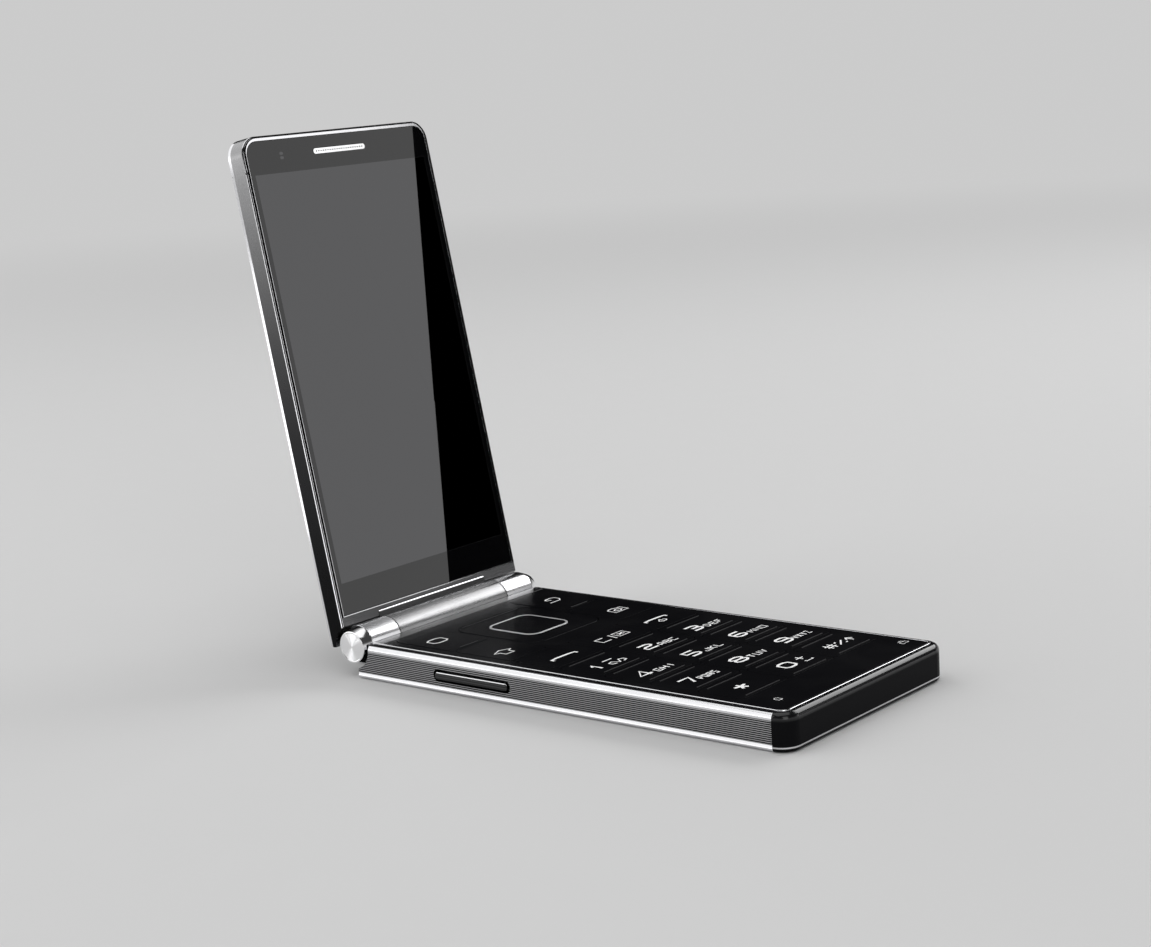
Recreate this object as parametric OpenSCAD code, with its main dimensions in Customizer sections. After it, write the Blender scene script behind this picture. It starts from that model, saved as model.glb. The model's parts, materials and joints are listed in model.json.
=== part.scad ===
// Folding telephone: a keypad base and a display lid on a three-knuckle barrel hinge.
// Millimetres, +Z up. X runs along the hinge, +Y runs from the near end to the hinge,
// and the origin is the middle of the underside. The lid stands open at rest.

/* [Body] */
// Overall width of the base and the lid
body_w = 61; // [60:0.5:66]
// Length of the base from its near end to the hinge axis
base_l = 118; // [116:1:130]
// Height of the base from the underside to the keypad plate
base_h = 8.3; // [8:0.1:9.4]
// Corner radius of the base in plan
corner_r = 4; // [3:0.2:5]
// Radius of the polished upper edge
edge_r = 1.4; // [1.1:0.1:1.6]
// Radius of the polished lower edge
foot_r = 1; // [0.6:0.1:1.2]
// Thickness of the side rails
rail_t = 1.6; // [1.6:0.1:1.9]
// How far the rims stop below the keypad plate
rim_drop = 0.15; // [0.05:0.05:0.3]

/* [Ribbed sides] */
// Height of the ribbed panel above the underside
rib_z0 = 1.4; // [1.3:0.1:1.8]
// Distance from the ribbed panel up to the keypad plate's face
rib_drop = 1.75; // [1.6:0.05:2]
// Number of ribs on each side
rib_n = 12; // [8:1:14]
// Depth of the panel's seat in the rail
rib_seat = 0.8; // [0.7:0.05:0.9]
// Height of a rib above the panel's skin
rib_h = 0.35; // [0.2:0.05:0.5]

/* [Hinge] */
// Drop of the hinge axis below the keypad plate's face
axis_drop = 1.2; // [0.9:0.1:1.7]
// Radius of the hinge barrel
barrel_r = 4.58; // [4.3:0.02:4.9]
// Gap between the barrel and what wraps round it
barrel_gap = 0.38; // [0.3:0.02:0.5]
// Length of an outer knuckle
knuckle_l = 9.05; // [9:0.05:11]
// Gap between two knuckles
knuckle_gap = 0.25; // [0.2:0.05:0.4]
// Depth that an end cap stands out of its knuckle
cap_t = 2.6; // [1.6:0.05:2.8]
// Radius of an end cap's face, towards which it tapers
cap_r = 3.7; // [3:0.1:4.2]
// Radius of the hinge pins
pin_r = 1.5; // [1.2:0.05:1.8]
// Running clearance of a pin in its bush, radial
run_fit = 0.05; // [0.02:0.01:0.08]
// Outer radius of a hinge bush
bush_r = 3; // [2.6:0.05:3.2]
// Opening angle of the lid as modelled
lid_open = 100.5; // [60:0.5:140]
// Setback of the base's rear face from the hinge axis
rear_set = 1.4; // [1:0.1:2]

/* [Keypad] */
// Thickness of the keypad plate
plate_t = 0.9; // [0.7:0.05:1]
// Width of the groove between rim and bead
groove_w = 0.3; // [0.2:0.05:0.4]
// Width of the bright bead round the plate
bead_w = 0.5; // [0.4:0.05:0.6]
// Length of the metal strip between plate and barrel
strip_l = 2.75; // [2.4:0.05:3.2]
// Distance of the navigation key's middle from the hinge axis
nav_back = 26.75; // [26:0.25:28]
// Width of the navigation ring, which is square
nav_w = 25; // [23:0.5:25.5]
// Corner radius of the navigation ring
nav_r = 4; // [2:0.5:6]
// Width of the middle key
ok_w = 14.3; // [13:0.1:14.6]
// Length of the middle key
ok_l = 14.7; // [13:0.1:14.8]
// Corner radius of the middle key
ok_r = 3; // [2:0.25:4]
// Width of the bright rim of the middle key
ok_rim = 0.55; // [0.4:0.05:0.8]
// Width of the bare strip beside the keys
side_bare = 2.4; // [2:0.1:3.4]
// Length of the bare strip at the near end
near_bare = 13.5; // [10:0.1:16]
// Distance from the navigation key's middle to the first row of keys
row_drop = 23.7; // [23.5:0.1:24]
// Space between neighbouring keys
key_space = 0.75; // [0.7:0.05:0.9]
// Clearance round a key in its opening
key_gap = 0.15; // [0.1:0.01:0.2]
// Corner radius of a key
key_r = 1; // [0.5:0.1:1.5]
// Travel of a key
key_travel = 0.25; // [0.15:0.05:0.3]
// Length of the raised line at a key's edges
ridge_l = 12.2; // [8:0.2:14]
// Height of the raised line
ridge_h = 0.12; // [0.08:0.01:0.14]
// Distance of a raised line from a key's edge
ridge_in = 0.9; // [0.6:0.05:1.6]

/* [Volume key] */
// Distance of the volume key's middle from the hinge axis
rocker_back = 35.7; // [34:0.1:42]
// Length of the volume key
rocker_l = 20.8; // [18:0.2:22]
// Height of the volume key
rocker_h = 1.7; // [1.5:0.1:1.8]
// How far it stands out of the side
rocker_proud = 0.35; // [0.2:0.05:0.5]

/* [Lid] */
// How much the lid's free edge stops short of the base's near end
lid_short = 1; // [0.8:0.1:2.4]
// Gap between the shut lid and the keypad plate
lid_gap = 0.47; // [0.4:0.01:0.6]
// Thickness of the lid at its edges
lid_t = 5.3; // [4.9:0.1:5.6]
// Height of the crown on the lid's back
crown = 0.4; // [0.2:0.05:0.6]
// Corner radius of the lid
lid_r = 4.5; // [3.5:0.25:5]
// Bevel along the lid's edges
lid_bevel = 0.35; // [0.2:0.05:0.45]
// Width of the metal rim beside the glass
rim_w = 1.1; // [1:0.05:1.3]
// Distance from the hinge axis to the glass
chin_s = 6.95; // [6.9:0.05:8]
// Thickness of the display glass
glass_t = 0.8; // [0.6:0.05:0.85]
// Depth of the glass below the rim
glass_sink = 0.08; // [0.04:0.02:0.12]
// Distance from the lid's side to the display module
panel_side = 2.5; // [2.5:0.1:4]
// Distance from the hinge axis to the display module
panel_s0 = 14.2; // [14.2:0.1:16]
// Distance from the lid's free edge to the display module
panel_top = 8.7; // [8.4:0.1:14]
// Thickness of the display module
panel_t = 1.5; // [1.2:0.05:1.6]
// Thickness of the back cover at its edge
back_t = 0.8; // [0.6:0.05:0.9]
// Height of the middle knuckle's lug above the rim
lug_rise = 0.15; // [0.05:0.05:0.15]
// Distance from the hinge axis to the lug's upper edge
lug_s = 6; // [5.6:0.05:6.2]
// Distance from the lid's free edge to the antenna breaks
break_top = 8.1; // [6.8:0.1:12]
// Width of an antenna break
break_w = 0.4; // [0.3:0.05:0.8]
// Length of the earpiece slot
ear_l = 17; // [12:0.5:20]
// Height of the earpiece slot
ear_h = 1.35; // [1:0.05:1.5]
// Distance from the lid's free edge to the earpiece slot
ear_top = 4.7; // [4.5:0.05:4.9]
// Distance from the hinge axis to the camera
camera_s = 11.1; // [11.05:0.01:11.15]
// Outer radius of the camera ring
camera_r = 3.9; // [3.6:0.1:4.2]

/* [Inner parts] */
// Thickness of the rear cover
cover_t = 1.2; // [1:0.05:1.3]
// Distance from the near end to the battery
battery_y = 13; // [12:0.5:16]
// Distance from the battery to the hinge axis
battery_rear = 39; // [38:1:50]
// Space beside the battery for the screws
battery_side = 5; // [4.9:0.1:8]
// Thickness of the main board
board_t = 0.7; // [0.5:0.05:0.8]
// Thickness of the housing's middle web
web_t = 0.5; // [0.4:0.05:0.7]
// Height of a contact dome
dome_h = 0.2; // [0.15:0.05:0.25]
// Shaft radius of the housing screws
screw_r = 0.7; // [0.5:0.05:0.8]
// How far the screws reach into the main board
screw_bite = 0.45; // [0.3:0.05:0.6]
// Distance of the socket's middle from the hinge axis
usb_back = 46; // [44:0.5:60]

/* [Hidden] */

$fn = 48;
fit = 0.05;    // clearance between pieces that sit in each other
eps = 0.01;    // reach of a cut past a face
far = 20;      // reach of a cut that runs right through

// Places along Y, and the base's outlines
hinge_y = base_l / 2;
near_y = -base_l / 2;
rear_y = hinge_y - rear_set;
half_w = body_w / 2;
core_hw = half_w - rail_t;
rim_h = base_h - rim_drop;
axis_z = base_h - axis_drop;
rib_z1 = base_h - rib_drop;
rim_in = edge_r + 0.1;               // the rim ends in a narrow flat land
bead_in = rim_in + groove_w;
plate_in = bead_in + bead_w + fit;
plate_rear = hinge_y - barrel_r - barrel_gap - strip_l;
wrap_r = barrel_r + barrel_gap;
wall_t = 1.9;                        // wall of the housing inside the rail
cavity_hw = core_hw - wall_t;
cavity_y0 = near_y + plate_in + 1;   // the plate rests on 1 mm of wall
cavity_y1 = plate_rear - 0.5;
battery_w = 2 * (cavity_hw - battery_side);
battery_l = base_l - battery_y - battery_rear;

// Heights in the base, from the plate down
plate_z = base_h - plate_t;
flange_t = 0.4;
flange_z = plate_z - fit - flange_t;
nub_h = 0.4;
dome_z1 = flange_z - nub_h - key_travel - fit;
sheet_t = 0.15;
sheet_z = dome_z1 - dome_h - sheet_t;
board_z = sheet_z - board_t;
web_z = board_z - web_t;
screw_l = board_z + screw_bite - cover_t - fit;
speaker_z1 = web_z - 0.4;
motor_z1 = web_z - 0.75;
usb_y = hinge_y - usb_back;
usb_z = [cover_t + 0.8, web_z - 0.1];

// Keys: three columns fill the width, and five rows the length that is left
nav_y = hinge_y - nav_back;
row_y = nav_y - row_drop;
pitch_x = (2 * (half_w - plate_in - side_bare) + key_space) / 3;
pitch_y = (base_l - nav_back - row_drop - near_bare) / 4.5;
key_w = pitch_x - key_space;
key_l = pitch_y - key_space;
key_z1 = base_h + 0.05;
flange_w = 0.2;                      // how far a flange reaches past its key
soft_x1 = pitch_x + key_w / 2;       // outer edge of the corner keys
soft_x0 = nav_w / 2 + 1;             // their inner edge
soft_y = [nav_y + nav_w / 2 + 5, nav_y + 0.35, nav_y - 0.4, nav_y - nav_w / 2 - 4.15];
nub_r = 1.2;
dome_r = 1.8;
nav_nub_r = 0.9;
nav_dome_r = 1.3;
nav_dome_at = nav_w / 2 - 1.7;
carrier_hole = ok_l + 0.5;
carrier_w = carrier_hole + 1.8;
carrier_z = [flange_z - 0.55, flange_z - 0.25];
pivot_r = 0.4;

// Volume key
rocker_y = hinge_y - rocker_back;
rocker_z = (rib_z0 + rib_z1) / 2;
rocker_gap = 0.6;
rocker_flange = [0.8, rocker_l + 2.6, rocker_h + 2 * rocker_gap + 0.8];
flange_set = 0.35;                   // gap between its flange and the rail

// Hinge
knuckle_x1 = half_w + 0.1 - cap_t;
knuckle_x0 = knuckle_x1 - knuckle_l;
mid_hw = knuckle_x0 - knuckle_gap;   // half width of the lid's middle knuckle
cap_root_r = barrel_r - 0.08;        // an end cap's radius where it meets the knuckle
knuckle_floor = 0.8;
bush_x0 = knuckle_x0 + knuckle_floor + fit;
bush_x1 = knuckle_x1 - 0.85;
washer_n = 5;
washer_t = 0.5;
washer_r = bush_r - 0.4;
washer_step = washer_t + 0.04;
washer_x0 = bush_x1 - 1.1 - washer_n * washer_step;
pin_head_t = 0.75;
pin_x0 = mid_hw - 6.7;
foot_x = [knuckle_x0 + 1.5, knuckle_x1 - 1.3];
foot_l = 6;
foot_y0 = hinge_y - 2.5 - foot_l;
foot_z = [cover_t + 0.8, web_z - 0.3];

// Lid, in its own frame: Y along the lid from the hinge axis, +Z out of the display
lid_reach = base_l - lid_short;
front_z = -(base_h + lid_gap - axis_z);
back_z = front_z - lid_t;
lid_low = 0.3;                       // lowest point of the lid behind the barrel
glass_z = front_z - glass_sink - glass_t;
ear_s = lid_reach - ear_top;
break_s = lid_reach - break_top;
panel_s1 = lid_reach - panel_top;
ledge_z = glass_z - fit;
panel_z = ledge_z - fit - panel_t;
cavity_x = half_w - rim_w - 1.2;
cavity_s = [8, lid_reach - 2.3];
cover_z = back_z + back_t;
cover_in = 0.55;
lens_r = 2.9;
flash_x = 8;
flash_r = 1.6;

// ---------- shared shapes ----------

// A rectangle with four equal rounded corners
module rounded(x0, y0, x1, y1, r) {
  translate([x0 + r, y0 + r]) offset(r) square([x1 - x0 - 2 * r, y1 - y0 - 2 * r]);
}

// A rounded rectangle centred on a point
module rounded_at(x, y, w, l, r) {
  rounded(x - w / 2, y - l / 2, x + w / 2, y + l / 2, r);
}

// A slab between two heights
module slab(z0, z1) {
  translate([0, 0, z0]) linear_extrude(z1 - z0) children();
}

// Outline of the base set in from its faces, round at the near end, ending at y1
module plan(inset, y1) {
  intersection() {
    rounded(-half_w + inset, near_y + inset, half_w - inset, y1 + far, corner_r - inset);
    translate([-body_w, near_y - 1]) square([2 * body_w, y1 - near_y + 1]);
  }
}

// Sweeps a profile along Y: its first axis is X, its second is Z
module along_y(y0, y1) {
  translate([0, y1, 0]) rotate([90, 0, 0]) linear_extrude(y1 - y0) children();
}

// Sweeps a profile along X: its first axis is Y, its second is Z
module along_x(x0, x1) {
  translate([x0, 0, 0]) rotate([90, 0, 90]) linear_extrude(x1 - x0) children();
}

// A cylinder along X on the hinge axis
module hinge_rod(r, x0, x1) {
  translate([x0, hinge_y, axis_z]) rotate([0, 90, 0]) cylinder(h = x1 - x0, r = r);
}

// The space that the barrel turns in
module barrel_room() {
  hinge_rod(wrap_r, -body_w, body_w);
}

// What a fillet takes off a square corner at the origin
module corner_waste(r) {
  difference() {
    translate([-1, -1]) square(r + 1);
    translate([r, r]) circle(r);
  }
}

// Section of the base's edge, from 0 out to its face at depth
module edge_section(depth) {
  difference() {
    square([depth, rim_h]);
    translate([depth, 0]) mirror([1, 0]) corner_waste(foot_r);
    translate([depth, rim_h]) rotate(180) corner_waste(edge_r);
  }
}

// Does the same on the left and on the right
module both_sides() {
  children();
  mirror([1, 0, 0]) children();
}

// Turns lid coordinates into the open lid's place
module lid_place() {
  translate([0, hinge_y, axis_z]) rotate([180 - lid_open, 0, 0]) children();
}

// ---------- base ----------

module near_cap() {
  run = half_w - corner_r;
  translate([0, near_y + corner_r, 0]) along_x(-run, run) mirror([1, 0]) edge_section(corner_r);
  both_sides()
    translate([-run, near_y + corner_r, 0]) rotate([0, 0, 180]) rotate_extrude(angle = 90)
      edge_section(corner_r);
}

module screw_places() {
  for (x = [-1, 1]) {
    translate([x * (cavity_hw - 2.1), near_y + battery_y - 6, 0]) children();
    translate([x * (cavity_hw - 2.1), near_y + battery_y + battery_l + 5, 0]) children();
    translate([x * (foot_x[0] + foot_x[1]) / 2, hinge_y - 6.6, 0]) children();
  }
}

module screw_room() {
  screw_places() {
    translate([0, 0, cover_t - eps]) cylinder(h = screw_l + 0.15, r = screw_r + fit);
    translate([0, 0, cover_t - eps]) cylinder(h = 0.6, r = 2 * screw_r);
  }
}

module usb_room(grow) {
  translate([cavity_hw - 3.6 - grow, usb_y - 3.8 - grow, usb_z[0] - grow])
    cube([far, 7.6 + 2 * grow, usb_z[1] - usb_z[0] + 2 * grow]);
}

module rocker_window() {
  open_l = rocker_l + 2 * rocker_gap + 2.2;
  open_h = rocker_h + 2 * rocker_gap + 1.4;
  translate([-core_hw - eps, rocker_y - open_l / 2, rocker_z - open_h / 2])
    cube([wall_t + 2 * eps, open_l, open_h]);
}

module side_board_room(grow) {
  translate([-cavity_hw - eps, rocker_y - 10.4 - grow, cover_t])
    cube([0.5 + grow + eps, 20.8 + 2 * grow, web_z - cover_t]);
}

// The foot of a knuckle and the arm that joins it to the barrel
module foot_room(grow) {
  w = foot_x[1] - foot_x[0] + 2 * grow;
  h = foot_z[1] - foot_z[0] + 2 * grow;
  translate([foot_x[0] - grow, foot_y0 - grow, foot_z[0] - grow]) cube([w, foot_l + 2 * grow, h]);
  translate([foot_x[0] - grow, foot_y0 + foot_l - 1.1, foot_z[0] + 0.6 - grow]) cube([w, 2.4, h]);
}

speaker_y = hinge_y - 19;
motor_at = [cavity_hw - 6.5, hinge_y - 19];

module base_housing() color("#16171a") difference() {
  union() {
    near_cap();
    translate([-core_hw, near_y + corner_r, 0])
      cube([2 * core_hw, rear_y - near_y - corner_r, plate_z]);
  }
  slab(plate_z, base_h + 1) plan(rim_in, hinge_y);
  slab(board_z, base_h) rounded(-cavity_hw, cavity_y0, cavity_hw, cavity_y1, 1);
  slab(-1, cover_t) rounded(-cavity_hw, near_y + 3, cavity_hw, rear_y - 1.4, 2);
  slab(0, web_z) rounded_at(0, near_y + battery_y + battery_l / 2,
    battery_w + 2 * fit, battery_l + 2 * fit, 1);
  slab(0, speaker_z1 + fit) rounded_at(0, speaker_y, 18 + 2 * fit, 12 + 2 * fit, 1);
  translate([motor_at[0], motor_at[1], 0]) cylinder(h = motor_z1 + fit, r = 4.1);
  usb_room(fit);
  rocker_window();
  side_board_room(0.1);
  both_sides() foot_room(fit);
  screw_room();
  barrel_room();
}

module rail() difference() {
  translate([-half_w, 0, 0]) along_y(near_y + corner_r, rear_y) difference() {
    translate([rail_t, 0]) mirror([1, 0]) edge_section(rail_t);
    translate([rim_in, plate_z]) square([rail_t, base_h]);
    translate([-1, rib_z0]) square([rib_seat + 1, rib_z1 - rib_z0]);
  }
  barrel_room();
}

module rocker_slot(grow) {
  translate([-half_w - 1, rocker_y, rocker_z]) rotate([0, 90, 0]) linear_extrude(rail_t + 1 + eps)
    rounded_at(0, 0, rocker_h + 2 * grow, rocker_l + 2 * grow, rocker_h / 2 + grow - 0.1);
}

module rail_left() color("#d6d8dc") difference() {
  rail();
  rocker_slot(rocker_gap);
}

module rail_right() color("#d6d8dc") difference() {
  mirror([1, 0, 0]) rail();
  usb_room(fit);
}

// The ribs stand on a skin at the bottom of the rail's seat
module rib_panel() difference() {
  pitch = (rib_z1 - rib_z0) / rib_n;
  ribs = [for (i = [0 : rib_n - 1], p = [[rib_h, 0.1], [0.02, 0.3], [0.02, 0.7], [rib_h, 0.9]])
    [p[0], rib_z0 + (i + p[1]) * pitch]];
  translate([-half_w, 0, 0]) along_y(near_y + corner_r + fit, rear_y)
    polygon(concat([[rib_seat, rib_z0], [rib_h, rib_z0]], ribs, [[rib_h, rib_z1],
      [rib_seat, rib_z1]]));
  barrel_room();
}

module rib_panel_left() color("#5a5c60") difference() {
  rib_panel();
  rocker_slot(rocker_gap);
  translate([-half_w - 1 + rib_h, 0, 0]) intersection() {
    rocker_slot(rocker_gap + 0.15);
    translate([-half_w - 5, rocker_y - far, 0]) cube([5 + 1, 2 * far, far]);
  }
}

module rib_panel_right() color("#5a5c60") difference() {
  mirror([1, 0, 0]) rib_panel();
  usb_room(fit);
}

module keypad_bead() color("#e4e6ea") difference() {
  slab(plate_z, base_h + 0.05) difference() {
    plan(bead_in, hinge_y);
    plan(bead_in + bead_w, hinge_y + 1);
  }
  barrel_room();
}

module hinge_strip() color("#8d8f94") difference() {
  hw = half_w - plate_in;
  translate([-hw, plate_rear + fit, plate_z]) cube([2 * hw, strip_l + 2, plate_t]);
  barrel_room();
}

// Outlines of the keys, each grown by a clearance
module grid_outline(col, row, grow) {
  rounded_at(col * pitch_x, row_y - row * pitch_y, key_w + 2 * grow, key_l + 2 * grow, key_r);
}

module soft_outline(side, upper, grow) {
  y1 = upper ? soft_y[0] : soft_y[2];
  y0 = upper ? soft_y[1] : soft_y[3];
  x = side * (soft_x0 + soft_x1) / 2;
  rounded_at(x, (y0 + y1) / 2, soft_x1 - soft_x0 + 2 * grow, y1 - y0 + 2 * grow, key_r);
}

module keypad_plate() color("#101114") difference() {
  slab(plate_z, base_h) plan(plate_in, plate_rear);
  slab(plate_z - 1, base_h + 1) {
    for (col = [-1 : 1], row = [0 : 4]) grid_outline(col, row, key_gap);
    for (side = [-1, 1], upper = [true, false]) soft_outline(side, upper, key_gap);
    rounded_at(0, nav_y, nav_w + 2 * key_gap, nav_w + 2 * key_gap, nav_r);
  }
}

// A raised line across a key, with sloping flanks
module ridge(x, y, l = ridge_l) {
  translate([x, y, key_z1 - eps]) along_x(-l / 2, l / 2)
    polygon([[-0.16, 0], [0.16, 0], [0.06, ridge_h + eps], [-0.06, ridge_h + eps]]);
}

// A nub that stands over its contact dome
module nub(x, y) {
  translate([x, y, flange_z - nub_h]) cylinder(h = nub_h + eps, r = nub_r);
}

module grid_key(col, row) color("#141518") {
  x = col * pitch_x;
  y = row_y - row * pitch_y;
  slab(flange_z, key_z1) grid_outline(col, row, 0);
  slab(flange_z, flange_z + flange_t) grid_outline(col, row, flange_w);
  nub(x, y);
  if (row > 0) {
    ridge(x, y + key_l / 2 - ridge_in);
    ridge(x, y - key_l / 2 + ridge_in);
  }
}

module soft_key(side, upper) color("#141518") {
  x = side * (soft_x0 + soft_x1) / 2;
  y = upper ? (soft_y[0] + soft_y[1]) / 2 : (soft_y[2] + soft_y[3]) / 2;
  slab(flange_z, key_z1) soft_outline(side, upper, 0);
  slab(flange_z, flange_z + flange_t) soft_outline(side, upper, flange_w);
  nub(x, y);
  if (upper) ridge(x, soft_y[1] + 0.6, ridge_l / 2);
}

module nav_ring() color("#17181b") {
  slab(flange_z, key_z1) difference() {
    rounded_at(0, nav_y, nav_w, nav_w, nav_r);
    rounded_at(0, nav_y, ok_w + 2 * key_gap, ok_l + 2 * key_gap, ok_r + key_gap);
  }
  ridge(0, nav_y + nav_w / 2 - 0.8, nav_w - nav_r - 1);
  for (a = [0 : 90 : 270])
    translate([0, nav_y, flange_z - nub_h]) rotate([0, 0, a]) translate([nav_dome_at, 0, 0])
      cylinder(h = nub_h + eps, r = nav_nub_r);
}

module nav_carrier() color("#6b6e72") {
  slab(carrier_z[0], carrier_z[1]) difference() {
    rounded_at(0, nav_y, carrier_w, carrier_w, 2);
    rounded_at(0, nav_y, carrier_hole, carrier_hole, 1.5);
  }
  at = (carrier_w + carrier_hole) / 4;
  for (s = [-1, 1]) {
    translate([0, nav_y + s * at, carrier_z[1] - eps])
      cylinder(h = flange_z - carrier_z[1] - 0.02 + eps, r = pivot_r);
    translate([s * at, nav_y, sheet_z + sheet_t + 0.02])
      cylinder(h = carrier_z[0] - sheet_z - sheet_t - 0.02 + eps, r = pivot_r);
  }
}

module nav_ok() color("#141518") {
  slab(flange_z, key_z1)
    rounded_at(0, nav_y, ok_w - 2 * ok_rim, ok_l - 2 * ok_rim, ok_r - ok_rim);
  nub(0, nav_y);
}

module ok_trim() color("#e4e6ea") slab(flange_z, key_z1 + 0.03) difference() {
  rounded_at(0, nav_y, ok_w, ok_l, ok_r);
  rounded_at(0, nav_y, ok_w - 2 * ok_rim, ok_l - 2 * ok_rim, ok_r - ok_rim);
}

module dome(x, y, r) {
  translate([x, y, sheet_z + sheet_t - eps]) cylinder(h = dome_h + eps, r = r);
}

module dome_sheet() color("#c9ccd0") {
  slab(sheet_z, sheet_z + sheet_t)
    rounded(-cavity_hw + 0.2, near_y + battery_y, cavity_hw - 0.2, cavity_y1 - 0.2, 1);
  for (col = [-1 : 1], row = [0 : 4]) dome(col * pitch_x, row_y - row * pitch_y, dome_r);
  for (side = [-1, 1], k = [0, 2])
    dome(side * (soft_x0 + soft_x1) / 2, (soft_y[k] + soft_y[k + 1]) / 2, dome_r);
  dome(0, nav_y, dome_r);
  for (s = [-1, 1]) {
    dome(s * nav_dome_at, nav_y, nav_dome_r);
    dome(0, nav_y + s * nav_dome_at, nav_dome_r);
  }
}

module main_board() color("#1d5c3a") difference() {
  slab(board_z, sheet_z)
    rounded(-cavity_hw + 0.2, cavity_y0 + 0.2, cavity_hw - 0.2, cavity_y1 - 0.2, 1);
  screw_room();
}

module battery() color("#3a3d42")
  slab(cover_t + fit, web_z - fit)
    rounded_at(0, near_y + battery_y + battery_l / 2, battery_w, battery_l, 1);

module rear_cover() color("#1b1c1f") {
  grille_n = 7;
  difference() {
    slab(0, cover_t) rounded(-cavity_hw + fit, near_y + 3 + fit, cavity_hw - fit,
      rear_y - 1.4 - fit, 2);
    slab(-1, cover_t + 1) for (i = [0 : grille_n - 1])
      translate([(i - (grille_n - 1) / 2) * 2.2, speaker_y]) rounded_at(0, 0, 0.9, 7, 0.4);
    translate([0, near_y + 3 + fit, 0.6]) rotate([180, 0, 0]) cylinder(h = 1, r = 5);
  }
}

module loudspeaker() color("#4a4c50")
  slab(cover_t + fit, speaker_z1) rounded_at(0, speaker_y, 18, 12, 1);

module vibration_motor() color("#b9bcc0")
  translate([motor_at[0], motor_at[1], cover_t + fit])
    cylinder(h = motor_z1 - cover_t - fit, r = 4);

module usb_socket() color("#c4c7cb") difference() {
  intersection() {
    usb_room(0);
    translate([-half_w + 0.3, usb_y - far, 0]) cube([body_w - 0.6, 2 * far, far]);
  }
  translate([cavity_hw - 2.8, usb_y - 3.45, usb_z[0] + 0.35])
    cube([far, 6.9, usb_z[1] - usb_z[0] - 0.7]);
}

module side_key_board() color("#1d5c3a") {
  translate([-cavity_hw + fit, rocker_y - 10.4, cover_t + 0.3])
    cube([0.4, 20.8, web_z - cover_t - 0.35]);
  for (s = [-1, 1])
    translate([-cavity_hw + fit + eps, rocker_y + s * 7, rocker_z - 0.5]) rotate([0, -90, 0])
      cylinder(h = 0.12 + eps, r = 1);
}

module volume_rocker() color("#6a6c70") {
  x0 = -half_w - rocker_proud;
  x1 = -core_hw + flange_set;
  translate([x0, rocker_y, rocker_z]) rotate([0, 90, 0]) linear_extrude(x1 - x0 + eps)
    rounded_at(0, 0, rocker_h, rocker_l, rocker_h / 2 - 0.1);
  translate([x1, rocker_y - rocker_flange[1] / 2, rocker_z - rocker_flange[2] / 2])
    cube(rocker_flange);
  for (s = [-1, 1])
    translate([x1 + rocker_flange[0] - eps, rocker_y + s * 7, rocker_z - 0.5])
      rotate([0, 90, 0]) cylinder(h = 0.3, r = 0.6);
}

// Right-hand knuckle: a barrel on a foot that sits in the housing's pocket
module knuckle() difference() {
  union() {
    hinge_rod(barrel_r, knuckle_x0, knuckle_x1);
    foot_room(0);
  }
  hinge_rod(bush_r + 0.02, knuckle_x0 + knuckle_floor, knuckle_x1 + 1);
  hinge_rod(pin_r + 0.1, knuckle_x0 - 1, knuckle_x1);
  screw_room();
}

module knuckle_left() color("#c3c5c9") mirror([1, 0, 0]) knuckle();

module knuckle_right() color("#c3c5c9") knuckle();

module hinge_caps() color("#d9dbde") both_sides() {
  hinge_rod(bush_r - fit, bush_x1 + fit, knuckle_x1 + eps);
  translate([knuckle_x1, hinge_y, axis_z]) rotate([0, 90, 0]) rotate_extrude()
    polygon([[0, 0], [cap_root_r, 0], [cap_root_r, 0.25], [cap_r, cap_t - 0.12],
      [cap_r - 0.12, cap_t], [cap_r - 0.4, cap_t], [cap_r - 0.5, cap_t - 0.1], [0, cap_t - 0.05]]);
}

module hinge_bushes() color("#b08d4f") both_sides() difference() {
  hinge_rod(bush_r, bush_x0, bush_x1);
  hinge_rod(pin_r + run_fit, bush_x0 - 1, bush_x1 + 1);
  hinge_rod(washer_r + fit, washer_x0, bush_x1 + 1);
}

module friction_washers() color("#9a9da2") both_sides() for (i = [0 : washer_n - 1])
  difference() {
    hinge_rod(washer_r, washer_x0 + i * washer_step + 0.02, washer_x0 + (i + 1) * washer_step);
    hinge_rod(pin_r + run_fit, 0, half_w);
  }

module housing_screws() color("#8a8d92") screw_places() {
  translate([0, 0, cover_t + fit]) cylinder(h = 0.5, r = 2 * screw_r - fit);
  translate([0, 0, cover_t + fit]) cylinder(h = screw_l, r = screw_r);
}

// ---------- lid ----------

// Outline of the lid set in from its edges
module lid_plan(inset) {
  rounded(-half_w + inset, lid_low + inset, half_w - inset, lid_reach - inset, lid_r - inset);
}

// Section of the lid's edge, from 0 out to its face
module lid_section() {
  in = lid_r - lid_bevel;
  polygon([[0, back_z], [in, back_z], [lid_r, back_z + lid_bevel], [lid_r, front_z - lid_bevel],
    [in, front_z], [0, front_z]]);
}

// The lid's outer form, with bevelled edges and square lower corners
module lid_form() {
  run = half_w - lid_r;
  straight = lid_reach - lid_r;
  translate([-run, lid_low, back_z]) cube([2 * run, straight - lid_low, lid_t]);
  both_sides() {
    translate([run, 0, 0]) along_y(lid_low, straight) lid_section();
    translate([run, straight, 0]) rotate_extrude(angle = 90) lid_section();
  }
  translate([0, straight, 0]) along_x(-run, run) lid_section();
}

// The cuts for the antenna breaks, which leave an inner wall standing
module break_cuts(grow) {
  both_sides()
    translate([half_w - rim_w - 0.15 - grow, break_s - break_w / 2 - grow, back_z - 1])
      cube([rim_w + 1, break_w + 2 * grow, lid_t + 2]);
}

module lid_barrel_room() {
  translate([-body_w, 0, 0]) rotate([0, 90, 0]) cylinder(h = 2 * body_w, r = wrap_r);
}

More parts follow.
